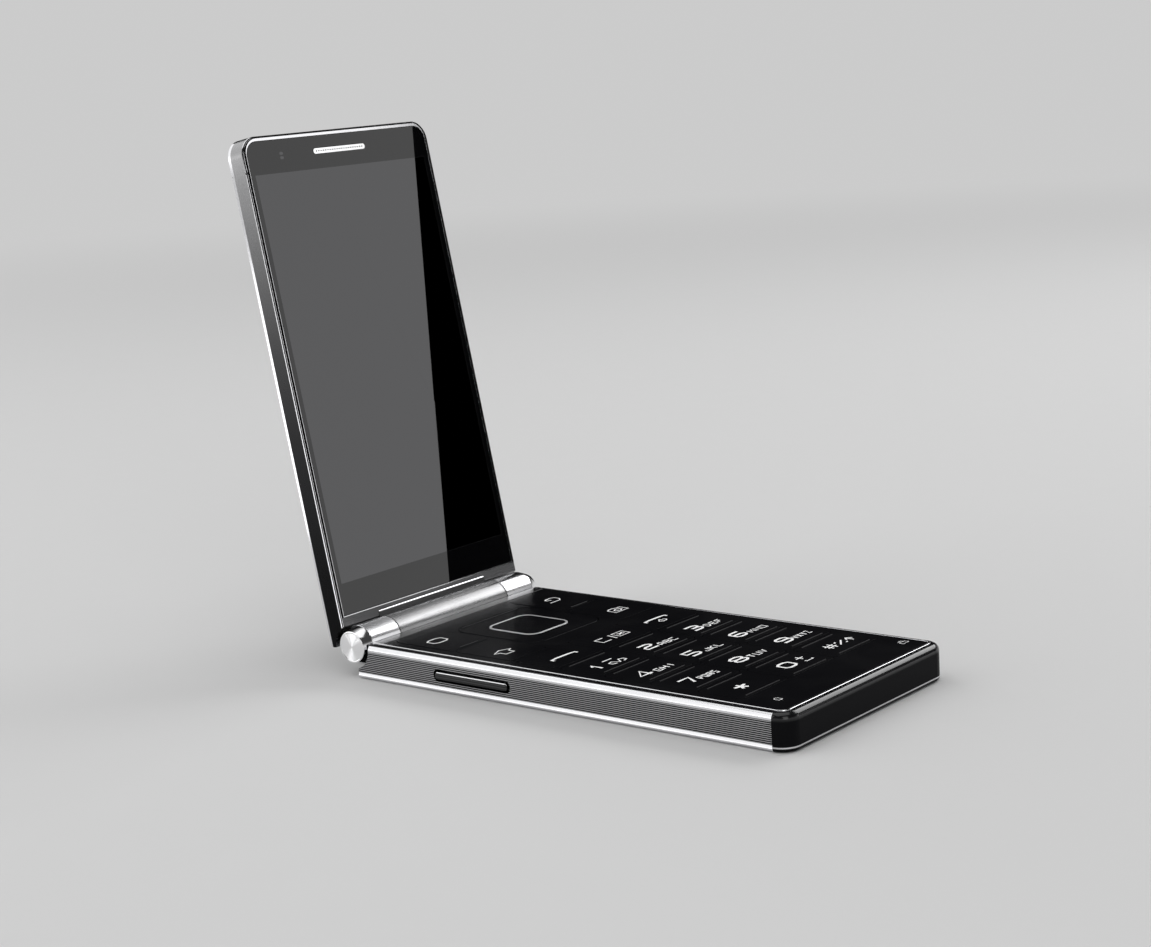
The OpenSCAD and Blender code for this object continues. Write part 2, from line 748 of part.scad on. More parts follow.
module lug_room(grow) {
  translate([-mid_hw + 0.3 - grow, -1, front_z - 3.9 - grow])
    cube([2 * (mid_hw - 0.3 + grow), lug_s + 1 + grow, far]);
}

// Outline of the glass's opening set in by a gap: round at the top, square at the chin
module window_plan(gap) {
  x = half_w - rim_w - gap;
  rounded(-x, chin_s + gap, x, lid_reach - rim_w - gap, lid_r - rim_w);
  rounded(-x, chin_s + gap, x, lid_reach / 2, 0.4);
}

module frame_body() difference() {
  lid_form();
  along_x(-body_w, body_w) translate([lid_low, back_z]) corner_waste(1.5);
  slab(ledge_z, 1) window_plan(0);
  slab(back_z - 1, 0) rounded(-cavity_x, cavity_s[0], cavity_x, cavity_s[1], 1.5);
  slab(back_z - 1, cover_z) {
    lid_plan(cover_in);
    translate([-half_w + cover_in, lid_low + cover_in])
      square([body_w - 2 * cover_in, lid_reach / 2]);
  }
  lid_barrel_room();
  lug_room(fit);
}

module lid_frame() color("#b4b6ba") lid_place() difference() {
  frame_body();
  break_cuts(0);
}

module antenna_breaks() color("#2a2b2e") lid_place() intersection() {
  frame_body();
  break_cuts(0);
}

// Section of the back cover between two edges, crowned towards them
module crown_section(a, b) {
  polygon([[a, cover_z], [a, back_z], [a + 0.9, back_z - crown * 0.55], [a + 3, back_z - crown],
    [b - 3, back_z - crown], [b - 0.9, back_z - crown * 0.55], [b, back_z], [b, cover_z]]);
}

module lid_back() color("#1b1c1f") lid_place() difference() {
  gap = cover_in + fit;
  intersection() {
    slab(back_z - 1, cover_z) rounded(-half_w + gap, lid_low + gap, half_w - gap,
      lid_reach - gap, lid_r - cover_in);
    along_y(0, lid_reach) crown_section(-half_w + gap, half_w - gap);
    along_x(-half_w, half_w) crown_section(lid_low + gap, lid_reach - gap);
  }
  translate([0, camera_s, back_z - 2]) cylinder(h = 4, r = lens_r + 0.1 + fit);
  translate([flash_x, camera_s, back_z - 2]) cylinder(h = 4, r = flash_r + fit);
}

module display_glass() color("#3c3e42") lid_place() slab(glass_z, glass_z + glass_t) difference() {
  window_plan(fit);
  rounded_at(0, ear_s, ear_l, ear_h, ear_h / 2 - 0.05);
}

module display_panel() color("#2a2c30") lid_place()
  slab(panel_z, panel_z + panel_t)
    rounded(panel_side - half_w, panel_s0, half_w - panel_side, panel_s1, 0.5);

module earpiece_grille() color("#c9cbd0") lid_place() {
  hole_n = 21;
  slab(glass_z, glass_z + glass_t + 0.03) difference() {
    rounded_at(0, ear_s, ear_l - 2 * fit, ear_h - 2 * fit, ear_h / 2 - 0.1);
    for (i = [0 : hole_n - 1])
      translate([(i - (hole_n - 1) / 2) * (ear_l - 2) / (hole_n - 1), ear_s]) circle(0.19, $fn = 16);
  }
}

module receiver() color("#4a4c50") lid_place()
  slab(back_z + 1.6, glass_z - fit) rounded_at(0, ear_s - 0.4, 15, 3.6, 0.8);

module lid_board() color("#1d5c3a") lid_place()
  slab(cover_z + 0.3, panel_z - fit) rounded(-14, panel_s0 + 4, 14, panel_s0 + 60, 1);

module camera_module() color("#26282b") lid_place() translate([0, camera_s, 0]) {
  translate([0, 0, cover_z + fit]) cylinder(h = glass_z - 2 * fit - cover_z, r = lens_r);
  translate([0, 0, back_z - crown + 0.15]) cylinder(h = crown + back_t, r = 1.85);
}

module camera_ring() color("#c9cbd0") lid_place() translate([0, camera_s, 0]) difference() {
  union() {
    translate([0, 0, back_z - crown]) cylinder(h = crown + back_t - eps, r = lens_r + 0.1);
    translate([0, 0, back_z - crown - 0.35]) cylinder(h = 0.35, r = camera_r);
  }
  translate([0, 0, back_z - 2]) cylinder(h = 4, r = 1.9);
}

module flash_lens() color("#e8e6d8") lid_place() translate([flash_x, camera_s, back_z - crown - 0.05])
  cylinder(h = crown + back_t, r = flash_r);

// The middle knuckle, with the lug that carries the lid
module lid_barrel() color("#c3c5c9") lid_place() difference() {
  union() {
    translate([-mid_hw, 0, 0]) rotate([0, 90, 0]) cylinder(h = 2 * mid_hw, r = barrel_r);
    translate([-mid_hw + 0.3, 0, front_z - 3.9])
      cube([2 * (mid_hw - 0.3), lug_s, 3.9 + lug_rise]);
  }
  translate([-pin_x0 + 0.5, 0, 0]) rotate([0, 90, 0]) cylinder(h = 2 * pin_x0 - 1, r = 3.2);
  translate([-mid_hw - 1, 0, 0]) rotate([0, 90, 0]) cylinder(h = 2 * mid_hw + 2, r = pin_r + 0.01);
}

// The pins turn with the lid: pressed in the middle knuckle, headed behind the washers
module hinge_pins() color("#a6a9ad") lid_place() both_sides() {
  head_x = bush_x1 - 1.1 + 0.03;
  translate([pin_x0, 0, 0]) rotate([0, 90, 0]) cylinder(h = head_x - pin_x0 + eps, r = pin_r);
  translate([head_x, 0, 0]) rotate([0, 90, 0]) cylinder(h = pin_head_t, r = washer_r - 0.1);
}

// The flexible circuit, wound up inside the middle knuckle
function spiral(r, a) = [r * cos(a), r * sin(a)];
module hinge_flex() color("#c07a2c") lid_place() {
  turns = 2.25;
  steps = 45;
  r0 = 1.3;
  r1 = 3.05;
  t = 0.12;
  outer = [for (i = [0 : steps]) spiral(r0 + t + (r1 - r0) * i / steps, 360 * turns * i / steps)];
  inner = [for (i = [steps : -1 : 0]) spiral(r0 + (r1 - r0) * i / steps, 360 * turns * i / steps)];
  rotate([90, 0, 90]) translate([0, 0, -7]) linear_extrude(14) polygon(concat(outer, inner));
}

base_housing();
rail_left();
rail_right();
rib_panel_left();
rib_panel_right();
keypad_bead();
keypad_plate();
hinge_strip();
dome_sheet();
main_board();
battery();
rear_cover();
loudspeaker();
usb_socket();
vibration_motor();
side_key_board();
knuckle_left();
knuckle_right();
hinge_caps();
hinge_bushes();
friction_washers();
housing_screws();
volume_rocker();
grid_key(-1, 1);  // key_1
grid_key(0, 1);  // key_2
grid_key(1, 1);  // key_3
grid_key(-1, 2);  // key_4
grid_key(0, 2);  // key_5
grid_key(1, 2);  // key_6
grid_key(-1, 3);  // key_7
grid_key(0, 3);  // key_8
grid_key(1, 3);  // key_9
grid_key(-1, 4);  // key_star
grid_key(0, 4);  // key_0
grid_key(1, 4);  // key_hash
grid_key(-1, 0);  // key_call
grid_key(0, 0);  // key_clear
grid_key(1, 0);  // key_end
soft_key(-1, true);  // key_menu
soft_key(-1, false);  // key_back
soft_key(1, true);  // key_options
soft_key(1, false);  // key_camera
nav_carrier();
nav_ring();
nav_ok();
ok_trim();
lid_frame();
lid_back();
antenna_breaks();
display_glass();
display_panel();
earpiece_grille();
receiver();
lid_board();
camera_module();
camera_ring();
flash_lens();
lid_barrel();
hinge_pins();
hinge_flex();
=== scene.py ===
"""Finishes, key legends and fine pieces of a folding phone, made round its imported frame."""
import json
import math

import bmesh
import bpy
from bpy.props import FloatProperty, FloatVectorProperty, IntProperty, PointerProperty
from mathutils import Matrix, Vector

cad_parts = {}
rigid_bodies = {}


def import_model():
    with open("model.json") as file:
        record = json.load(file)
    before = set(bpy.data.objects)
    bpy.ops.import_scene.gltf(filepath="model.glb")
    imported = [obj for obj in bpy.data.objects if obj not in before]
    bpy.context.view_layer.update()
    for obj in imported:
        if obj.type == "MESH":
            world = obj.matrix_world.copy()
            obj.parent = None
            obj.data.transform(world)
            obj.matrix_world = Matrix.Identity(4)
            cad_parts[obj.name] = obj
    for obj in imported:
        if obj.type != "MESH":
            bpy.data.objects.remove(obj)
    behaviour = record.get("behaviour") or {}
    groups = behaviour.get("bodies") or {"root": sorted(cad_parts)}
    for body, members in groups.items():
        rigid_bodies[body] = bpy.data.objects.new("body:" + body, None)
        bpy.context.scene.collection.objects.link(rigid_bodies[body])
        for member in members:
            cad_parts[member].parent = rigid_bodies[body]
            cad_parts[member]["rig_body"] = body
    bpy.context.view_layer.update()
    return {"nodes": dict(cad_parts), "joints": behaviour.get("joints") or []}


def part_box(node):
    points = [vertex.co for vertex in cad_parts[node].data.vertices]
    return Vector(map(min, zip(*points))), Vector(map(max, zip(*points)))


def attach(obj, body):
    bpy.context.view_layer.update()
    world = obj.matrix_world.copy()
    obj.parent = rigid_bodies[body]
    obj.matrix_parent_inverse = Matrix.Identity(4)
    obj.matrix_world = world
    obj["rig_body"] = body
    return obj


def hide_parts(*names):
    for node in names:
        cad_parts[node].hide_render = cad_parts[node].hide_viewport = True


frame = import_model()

bl_info = {
    "name": "Folding phone",
    "version": (1, 0, 0),
    "blender": (4, 5, 0),
    "location": "View3D > Sidebar > Phone",
    "description": "Dresses a folding phone's packed frame with its finishes and fine pieces",
    "category": "Object",
}

MM = 0.001
NODES = frame["nodes"]
SLOTS = {name: node.material_slots[0].material.name for name, node in NODES.items()}
BOXES = {name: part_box(name) for name in NODES}


# ---------- places taken from the frame ----------

def low(node):
    """A node's lowest corner."""
    return BOXES[node][0]


def high(node):
    """A node's highest corner."""
    return BOXES[node][1]


def lid_matrix():
    """The open lid's own frame: X along the hinge, Y up the lid, Z out of the display."""
    glass = NODES["display_glass"].data
    face = max(glass.polygons, key=lambda f: f.area if f.normal.y < 0 else 0)
    out = face.normal.copy()
    out.x = 0
    out.normalize()
    across = Vector((1, 0, 0))
    hinge = next(j for j in frame["joints"] if j["name"] == "lid_hinge")
    turn = Matrix((across, out.cross(across), out)).transposed().to_4x4()
    turn.translation = Vector(hinge["pos_m"])
    return turn


LID = lid_matrix()
TO_LID = LID.inverted()
KEY_FACE = high("nav_ok").z


def lid_axis(column):
    """A direction of the lid's own frame: 0 across, 1 up the lid, 2 out of the display."""
    return Vector([LID[row][column] for row in range(3)])


def lid_box(node):
    """Lowest and highest corners of a node in the lid's own frame."""
    points = [TO_LID @ v.co for v in NODES[node].data.vertices]
    return [Vector([pick(p[i] for p in points) for i in range(3)]) for pick in (min, max)]


# ---------- sizes and colours that a user would change ----------

def length(name, description, millimetres):
    """A length property, given in millimetres."""
    return FloatProperty(name=name, description=description, default=millimetres * MM,
                         min=0, precision=5, unit="LENGTH")


def colour(name, description, value):
    """A colour property."""
    return FloatVectorProperty(name=name, description=description, default=value,
                               min=0, max=1, size=3, subtype="COLOR")


class PhoneSizes(bpy.types.PropertyGroup):
    """Sizes of the fine pieces"""
    edge: length("Edge break", "Rounding of the metal parts' edges", 0.12)
    key_edge: length("Key edge", "Rounding of the keys' upper edges", 0.06)
    ring_edge: length("Ring edge", "Rounding of the navigation ring's upper edges", 0.25)
    glass_edge: length("Glass edge", "Rounding of the display glass", 0.12)
    band_rim: length("Back rim", "Width of the polished rim at the lid's back edge", 0.9)
    digit_line: length("Digit line", "Line width of the digits", 0.68)
    letter_line: length("Letter line", "Line width of the letters and small signs", 0.38)
    print_height: length("Print height", "How far the legends stand out of the keys", 0.02)
    trim: length("Trim width", "Width of the bright line beside the glass", 0.08)
    trim_foot: length("Trim width at the foot", "Width of the bright line below the glass", 0.13)
    trim_top: length("Trim width at the top", "Width of the bright line above the glass", 0.6)
    rail_band: length("Rail band", "How far the polish reaches in over a rail's edge", 0.75)
    rail_lip: length("Rail lip", "Bevel of a rail's lip below the ribs", 0.35)
    plate_edge: length("Plate edge", "Rounding of the keypad plate's outer edge", 0.30)
    bead_edge: length("Bead edge", "Rounding of the bright bead round the keypad", 0.14)
    cap_rings: IntProperty(name="Turned rings", description="Rings turned in a hinge cap's face",
                           default=26, min=4, max=60)


class PhoneColours(bpy.types.PropertyGroup):
    """Colours of the finishes"""
    silver: colour("Silver", "Polished rails and trims", (0.80, 0.80, 0.82))
    satin: colour("Satin metal", "Barrel and small metal parts", (0.33, 0.33, 0.335))
    band: colour("Lid band", "Band round the lid's sides, at the hinge", (0.009, 0.009, 0.0095))
    # The lid band's top tone is a painted highlight.
    band_painted_highlight: colour("Lid band painted highlight", "The same band at the lid's top, brightened by a painted highlight",
                     (0.36, 0.36, 0.365))
    black: colour("Black", "Shell, keypad and keys", (0.006, 0.006, 0.007))
    chin: colour("Chin", "Strip of the lid below the display", (0.125, 0.125, 0.128))
    legend: colour("Legend", "Digits and letters on the keys", (0.92, 0.92, 0.92))
    display: colour("Display", "Mirror tint of the dark display", (0.080, 0.080, 0.082))
    floor: colour("Floor", "Studio floor", (0.68, 0.68, 0.68))
    surround: colour("Surround", "Tone that the floor melts into", (0.60, 0.60, 0.60))


def sizes():
    """The scene's phone sizes."""
    return bpy.context.scene.phone_sizes


def tint(name):
    """One of the scene's phone colours."""
    return tuple(getattr(bpy.context.scene.phone_colours, name))


# ---------- shader nodes ----------

def add(tree, kind, links=None, **settings):
    """Adds a node, sets its properties, then its inputs by name or by place."""
    node = tree.nodes.new("ShaderNode" + kind)
    for key, value in settings.items():
        setattr(node, key, value)
    for key, value in (links or {}).items():
        if isinstance(value, bpy.types.NodeSocket):
            tree.links.new(value, node.inputs[key])
        else:
            node.inputs[key].default_value = value
    return node


def noise(tree, vector, scale, detail, **more):
    """Clouded noise from 0 to 1."""
    return add(tree, "TexNoise", {"Vector": vector, "Scale": scale, "Detail": detail,
                                  **more}).outputs["Fac"]


def ramp(tree, value, start, stop, ends=(0, 1), **settings):
    """A number that goes from end to end as a value goes from start to stop."""
    return add(tree, "MapRange", {"Value": value, "From Min": start, "From Max": stop,
                                  "To Min": ends[0], "To Max": ends[1]},
               **settings).outputs["Result"]


def maths(tree, operation, first, second=0):
    """The result of a sum on one or two numbers."""
    return add(tree, "Math", {0: first, 1: second}, operation=operation).outputs[0]


def mix(tree, mask, first, second):
    """A colour that goes from first to second with a mask."""
    first, second = (end if isinstance(end, bpy.types.NodeSocket) else (*end, 1)
                     for end in (first, second))
    return add(tree, "Mix", {"Factor": mask, 6: first, 7: second}, data_type="RGBA").outputs[2]


def group_tree(name, inputs, outputs):
    """An empty shader node group with named sockets, and its input and output nodes."""
    tree = bpy.data.node_groups.new(name, "ShaderNodeTree")
    for label, kind, value in inputs:
        socket = tree.interface.new_socket(label, in_out="INPUT", socket_type="NodeSocket" + kind)
        if value is not None:
            socket.default_value = value
    for label, kind in outputs:
        tree.interface.new_socket(label, in_out="OUTPUT", socket_type="NodeSocket" + kind)
    return tree, tree.nodes.new("NodeGroupInput"), tree.nodes.new("NodeGroupOutput")


def grain_group():
    """Fine grain, drawn out along an axis by its stretch, with a low swell under it."""
    tree, given, result = group_tree(
        "Grain",
        [("Vector", "Vector", None), ("Stretch", "Vector", (1, 1, 1)), ("Scale", "Float", 9000),
         ("Low", "Float", 0.2), ("High", "Float", 0.3)],
        [("Value", "Float"), ("Height", "Float")])
    drawn = add(tree, "VectorMath", {0: given.outputs["Vector"], 1: given.outputs["Stretch"]},
                operation="MULTIPLY")
    grain = noise(tree, drawn.outputs[0], given.outputs["Scale"], 3, Roughness=0.6)
    swell = noise(tree, given.outputs["Vector"], 90, 2)
    value = ramp(tree, maths(tree, "ADD", grain, swell), 0.7, 1.3,
                 (given.outputs["Low"], given.outputs["High"]))
    tree.links.new(value, result.inputs["Value"])
    tree.links.new(grain, result.inputs["Height"])


def handling_group():
    """Marks of use: faint smudges, as a mask from 0 to 1."""
    tree, given, result = group_tree(
        "Handling marks", [("Vector", "Vector", None), ("Scale", "Float", 60)],
        [("Smudge", "Float")])
    smudge = noise(tree, given.outputs["Vector"], given.outputs["Scale"], 4, Distortion=0.8)
    tree.links.new(ramp(tree, smudge, 0.45, 0.75), result.inputs["Smudge"])


def level_group():
    """A mask that rises from 0 to 1 between two places along a direction."""
    tree, given, result = group_tree(
        "Level",
        [("Vector", "Vector", None), ("Along", "Vector", (0, 0, 1)), ("From", "Float", 0),
         ("To", "Float", 1)],
        [("Mask", "Float")])
    dot = add(tree, "VectorMath", {0: given.outputs["Vector"], 1: given.outputs["Along"]},
              operation="DOT_PRODUCT")
    mask = ramp(tree, dot.outputs["Value"], given.outputs["From"], given.outputs["To"])
    tree.links.new(mask, result.inputs["Mask"])


class Finish:
    """A material under construction: its shader, and short ways to feed it."""

    def __init__(self, name, tone, metallic=0.0, roughness=0.4, **constants):
        self.material = bpy.data.materials.new(name)
        self.material.use_nodes = True
        self.tree = self.material.node_tree
        self.shader = self.tree.nodes["Principled BSDF"]
        self.place = add(self.tree, "TexCoord").outputs["Object"]
        self.set("Base Color", (*tone, 1))
        self.set("Metallic", metallic)
        self.set("Roughness", roughness)
        for key, value in constants.items():
            self.set(key.replace("_", " "), value)

    def set(self, socket, value):
        """Gives a shader socket a constant."""
        self.shader.inputs[socket].default_value = value

    def feed(self, socket, source):
        """Links a node's output to a shader socket."""
        self.tree.links.new(source, self.shader.inputs[socket])

    def group(self, name, **values):
        """Places a shared effect, reading the piece's own coordinates."""
        node = self.tree.nodes.new("ShaderNodeGroup")
        node.node_tree = bpy.data.node_groups[name]
        self.tree.links.new(self.place, node.inputs["Vector"])
        for key, value in values.items():
            node.inputs[key].default_value = value
        return node.outputs

    def level(self, start, stop, along=(0, 0, 1)):
        """A mask that rises from start to stop along a direction, in metres."""
        return self.group("Level", From=start, To=stop, Along=along)["Mask"]

    def times(self, *masks):
        """Several masks multiplied."""
        product = masks[0]
        for mask in masks[1:]:
            product = maths(self.tree, "MULTIPLY", product, mask)
        return product

    def colour(self, mask, first, second):
        """Base colour that goes from first to second with a mask."""
        self.feed("Base Color", mix(self.tree, mask, first, second))

    def relief(self, height, depth):
        """Bump of a given depth."""
        bump = add(self.tree, "Bump", {"Height": height, "Distance": depth, "Strength": 1.0})
        self.feed("Normal", bump.outputs["Normal"])


def darker(tone, share):
    """A colour scaled by a share."""
    return tuple(share * c for c in tone)


# ---------- finishes ----------

def metal(name, tone, low_gloss, high_gloss, stretch, scale=6000, depth=0.6e-6):
    """Metal whose fine grain is drawn out along an axis."""
    made = Finish(name, tone, metallic=1.0)
    grain = made.group("Grain", Stretch=stretch, Scale=scale, Low=low_gloss, High=high_gloss)
    marks = made.group("Handling marks")
    made.feed("Roughness", grain["Value"])
    made.colour(marks["Smudge"], tone, darker(tone, 0.93))
    made.relief(grain["Height"], depth)
    return made


def plastic(name, tone, gloss, depth=1.5e-6, scale=9000, **constants):
    """Moulded plastic with a fine skin and faint smudges."""
    made = Finish(name, tone, roughness=gloss, **constants)
    grain = made.group("Grain", Scale=scale, Low=gloss - 0.04, High=gloss + 0.04)
    marks = made.group("Handling marks")
    made.feed("Roughness", grain["Value"])
    made.colour(marks["Smudge"], tone, tuple(c + 0.004 for c in tone))
    made.relief(grain["Height"], depth)
    return made


def rib_finish():
    """Dark satin ribs, with painted shade in the grooves and a painted highlight on their crests."""
    made = Finish("Ribbed side", (0.05, 0.05, 0.052), metallic=1.0, roughness=0.34)
    across = add(made.tree, "SeparateXYZ", {0: made.place}).outputs["X"]
    edge, shaded_depth, highlight_full = high("rib_panel_right").x, 0.055 * MM, 0.01 * MM
    # Painted shade and highlight: the ribs are near black down in the grooves and pale grey on their
    # outermost crests.
    crest = ramp(made.tree, maths(made.tree, "ABSOLUTE", across), edge - shaded_depth, edge - highlight_full)
    made.colour(crest, (0.002, 0.002, 0.0022), (0.50, 0.50, 0.51))
    grain = made.group("Grain", Stretch=(1, 0.05, 1), Scale=9000, Low=0.28, High=0.42)
    made.feed("Roughness", grain["Value"])
    made.relief(grain["Height"], 1e-6)
    return made


def rocker_finish():
    """Dark satin metal with fine ribs along the rocker."""
    pitch, depth = 0.5 * MM, 0.03 * MM
    made = metal("Volume key", darker(tint("satin"), 0.14), 0.22, 0.34, (1, 0.02, 1))
    rise = add(made.tree, "SeparateXYZ", {0: made.place}).outputs["Z"]
    made.relief(maths(made.tree, "SINE", made.times(rise, math.tau / pitch)), depth)
    return made


def shell_finish():
    """Black shell, glossier over its upper rounding, with the foot of its near end polished."""
    made = plastic("Black shell", tint("black"), 0.16, Specular_IOR_Level=0.03,
                   Coat_Roughness=0.16)
    crown, glossy, foot_low, foot_high, soft = (
        height * MM for height in (6.3, 7.0, 0.85, 1.25, 0.1))
    near = low("rail_left").y
    made.feed("Coat Weight", made.level(crown, glossy))
    polished = made.times(made.level(foot_high, foot_high - soft),
                          made.level(foot_low, foot_low + soft),
                          made.level(near, near - soft, (0, 1, 0)))
    made.feed("Metallic", polished)
    made.colour(polished, tint("black"), tint("silver"))
    return made


def band_finish():
    """The lid's grained band, dark at the hinge, with a painted highlight that brightens it towards
    the top.
    """
    made = metal("Lid band", tint("band"), 0.22, 0.32, (1, 1, 1), scale=5200, depth=2e-6)
    up, dark, highlight_falloff = lid_axis(1), 8 * MM, 4.2
    start = up.dot(LID.translation)
    # Painted highlight: the band's colour grows brighter from near the hinge to the lid's top,
    # standing in for reflected light.
    height = made.level(start + dark, start + lid_box("lid_frame")[1].y, up)
    made.colour(maths(made.tree, "POWER", height, highlight_falloff), tint("band"), tint("band_painted_highlight"))
    return made


def keypad_finish(name):
    """The keypad's black lacquer, with a painted highlight that makes the raised lines a little
    paler.
    """
    made = plastic(name, tint("black"), 0.22, depth=2.2e-6, scale=5200, Specular_IOR_Level=0.02)
    start, highlight_full = 0.03 * MM, 0.10 * MM
    # Painted highlight: the raised lines standing above the key face are painted paler.
    crest = made.level(KEY_FACE + start, KEY_FACE + highlight_full)
    skin = made.shader.inputs["Base Color"].links[0].from_socket
    made.colour(crest, skin, (0.055, 0.055, 0.056))
    return made


def display_finish():
    """Black glass, a touch more mirror-like over the dark display behind it."""
    dark = (0.003, 0.003, 0.0035)
    made = Finish("Display glass", dark, roughness=0.02)
    panel_low, panel_high = lid_box("display_panel")
    edge = 0.1 * MM
    sides = []
    for column in (0, 1):
        along = lid_axis(column)
        base = along.dot(LID.translation)
        for stop, inwards in ((panel_low[column], edge), (panel_high[column], -edge)):
            sides.append(made.level(base + stop, base + stop + inwards, along))
    lit = made.times(*sides)
    made.feed("Metallic", lit)
    made.colour(lit, dark, tint("display"))
    marks = made.group("Handling marks", Scale=35)
    made.feed("Roughness", ramp(made.tree, marks["Smudge"], 0, 1, (0.004, 0.010)))
    return made


def board_finish():
    """Green circuit board with paler tracks and pads."""
    made = Finish("Circuit board", (0.02, 0.12, 0.06), roughness=0.35)
    tracks = add(made.tree, "TexBrick", {"Vector": made.place, "Scale": 260.0, "Mortar Size": 0.03,
                                         "Color1": (0, 0, 0, 1), "Color2": (0.2, 0.2, 0.2, 1),
                                         "Mortar": (1, 1, 1, 1)})
    made.colour(tracks.outputs["Color"], (0.015, 0.10, 0.05), (0.06, 0.25, 0.12))
    made.relief(tracks.outputs["Color"], 0.02 * MM)
    return made


def make_finishes():
    """Every finish by the name of its slot, and the extra ones by their own names."""
    silver, satin, chin = tint("silver"), tint("satin"), tint("chin")
    along_y, along_x, up_lid, even = (1, 0.02, 1), (0.02, 1, 1), (1, 0.05, 0.05), (1, 1, 1)
    made = {
        "black_shell": shell_finish(),
        "polished_rail": metal("Polished rail", silver, 0.08, 0.16, along_y, depth=0.15e-6),
        "ribbed_side": rib_finish(),
        "bright_trim": metal("Bright trim", silver, 0.06, 0.12, along_y, depth=0.1e-6),
        "keypad_face": keypad_finish("Keypad face"),
        "key_face": keypad_finish("Key face"),
        "satin_strip": metal("Satin strip", darker(satin, 0.35), 0.24, 0.34, along_x),
        "spring_steel": metal("Spring steel", (0.55, 0.55, 0.56), 0.2, 0.3, even),
        "circuit_board": board_finish(),
        "battery_wrap": plastic("Battery wrap", (0.05, 0.055, 0.06), 0.4),
        "black_cover": plastic("Black cover", (0.014, 0.014, 0.016), 0.34, depth=6e-6,
                               scale=3200),
        "bronze_bush": metal("Bronze bush", (0.55, 0.36, 0.15), 0.2, 0.34, along_x),
        "volume_key": rocker_finish(),
        "carrier_plastic": plastic("Carrier plastic", (0.16, 0.165, 0.17), 0.45),
        "lid_metal": metal("Lid metal", satin, 0.24, 0.36, up_lid),
        "break_plastic": plastic("Break plastic", (0.02, 0.02, 0.021), 0.4),
        "display_glass": display_finish(),
        "display_module": plastic("Display module", (0.02, 0.022, 0.025), 0.2),
        "grille_metal": metal("Grille metal", (0.93, 0.93, 0.94), 0.06, 0.12, even, scale=9000),
        "flash_lens": Finish("Flash lens", (0.80, 0.78, 0.62), roughness=0.18),
        "flex_film": plastic("Flex film", (0.45, 0.2, 0.05), 0.35),
        "hinge_metal": metal("Hinge metal", satin, 0.20, 0.30, along_x, scale=5000, depth=0.8e-6),
        "knuckle": metal("Knuckle metal", darker(silver, 0.9), 0.16, 0.24, along_x),
        "turned_cap": metal("Turned cap", (0.97, 0.97, 0.98), 0.10, 0.18, even),
        "lug": metal("Lug metal", darker(chin, 0.5), 0.22, 0.34, along_x),
        "chin": metal("Chin metal", chin, 0.22, 0.34, along_x),
        "band": band_finish(),
        "key_trim": Finish("Key trim", (0.80, 0.80, 0.81), metallic=0.4, roughness=0.36),
        # The legend print's faint emission is a painted glow.
        "legend": plastic("Legend print", tint("legend"), 0.5, Emission_Color=(1, 1, 1, 1),
                          Emission_Strength=0.16),
        "seal": plastic("Seal rubber", (0.003, 0.003, 0.003), 0.5, depth=3e-6,
                        Specular_IOR_Level=0.02),
        "sensor": Finish("Sensor window", (0.085, 0.085, 0.087), metallic=1.0, roughness=0.05),
    }
    flash = made["flash_lens"]
    rings = add(flash.tree, "TexVoronoi", {"Vector": flash.place, "Scale": 4200.0})
    flash.relief(rings.outputs["Distance"], 0.03 * MM)
    return {name: finish.material for name, finish in made.items()}


FINISHES = {}


# ---------- meshes ----------

def packed_mesh(node):
    """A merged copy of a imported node's mesh, with its flat faces whole."""
    touching, level = 0.5e-6, math.radians(0.4)
    bm = bmesh.new()
    bm.from_mesh(NODES[node].data)
    bmesh.ops.remove_doubles(bm, verts=bm.verts, dist=touching)
    bmesh.ops.dissolve_limit(bm, angle_limit=level, verts=bm.verts, edges=bm.edges)
    return bm


def corners(bm, least=28.0):
    """The edges where two faces meet outwards at a clear angle."""
    bm.normal_update()
    return [e for e in bm.edges if len(e.link_faces) == 2
            and e.calc_face_angle_signed(0) > math.radians(least)]


def rim_edges(bm, lowest, highest):
    """The outward edges between two heights that end in a steep side."""
    return [e for e in corners(bm) if all(lowest < v.co.z < highest for v in e.verts)
            and any(abs(f.normal.z) < 0.3 for f in e.link_faces)]


def round_edges(bm, edges, width, segments=2):
    """Rounds the given edges."""
    if edges:
        bmesh.ops.bevel(bm, geom=edges, offset=width, offset_type="OFFSET", affect="EDGES",
                        segments=segments, profile=0.5, material=-1, clamp_overlap=True,
                        loop_slide=True)


def cut(bm, point, normal):
    """Scores a mesh along a plane, and takes nothing away."""
    bmesh.ops.bisect_plane(bm, geom=bm.verts[:] + bm.edges[:] + bm.faces[:], dist=1e-7,
                           plane_co=point, plane_no=normal)


def thicken(bm, height):
    """Gives flat faces a thickness along Z, with every face pointing outwards."""
    lift = bmesh.ops.extrude_face_region(bm, geom=bm.faces[:])
    raised = [v for v in lift["geom"] if isinstance(v, bmesh.types.BMVert)]
    bmesh.ops.translate(bm, verts=raised, vec=(0, 0, height))
    bmesh.ops.recalc_face_normals(bm, faces=bm.faces)


def in_scene(name, data):
    """A new object in the scene, at the world's origin."""
    item = bpy.data.objects.new(name, data)
    bpy.context.scene.collection.objects.link(item)
    return item


def mesh_object(name, bm, materials):
    """An object of a finished bmesh, with its materials."""
    mesh = bpy.data.meshes.new(name)
    bm.to_mesh(mesh)
    bm.free()
    for material in materials:
        mesh.materials.append(material)
    return in_scene(name, mesh)


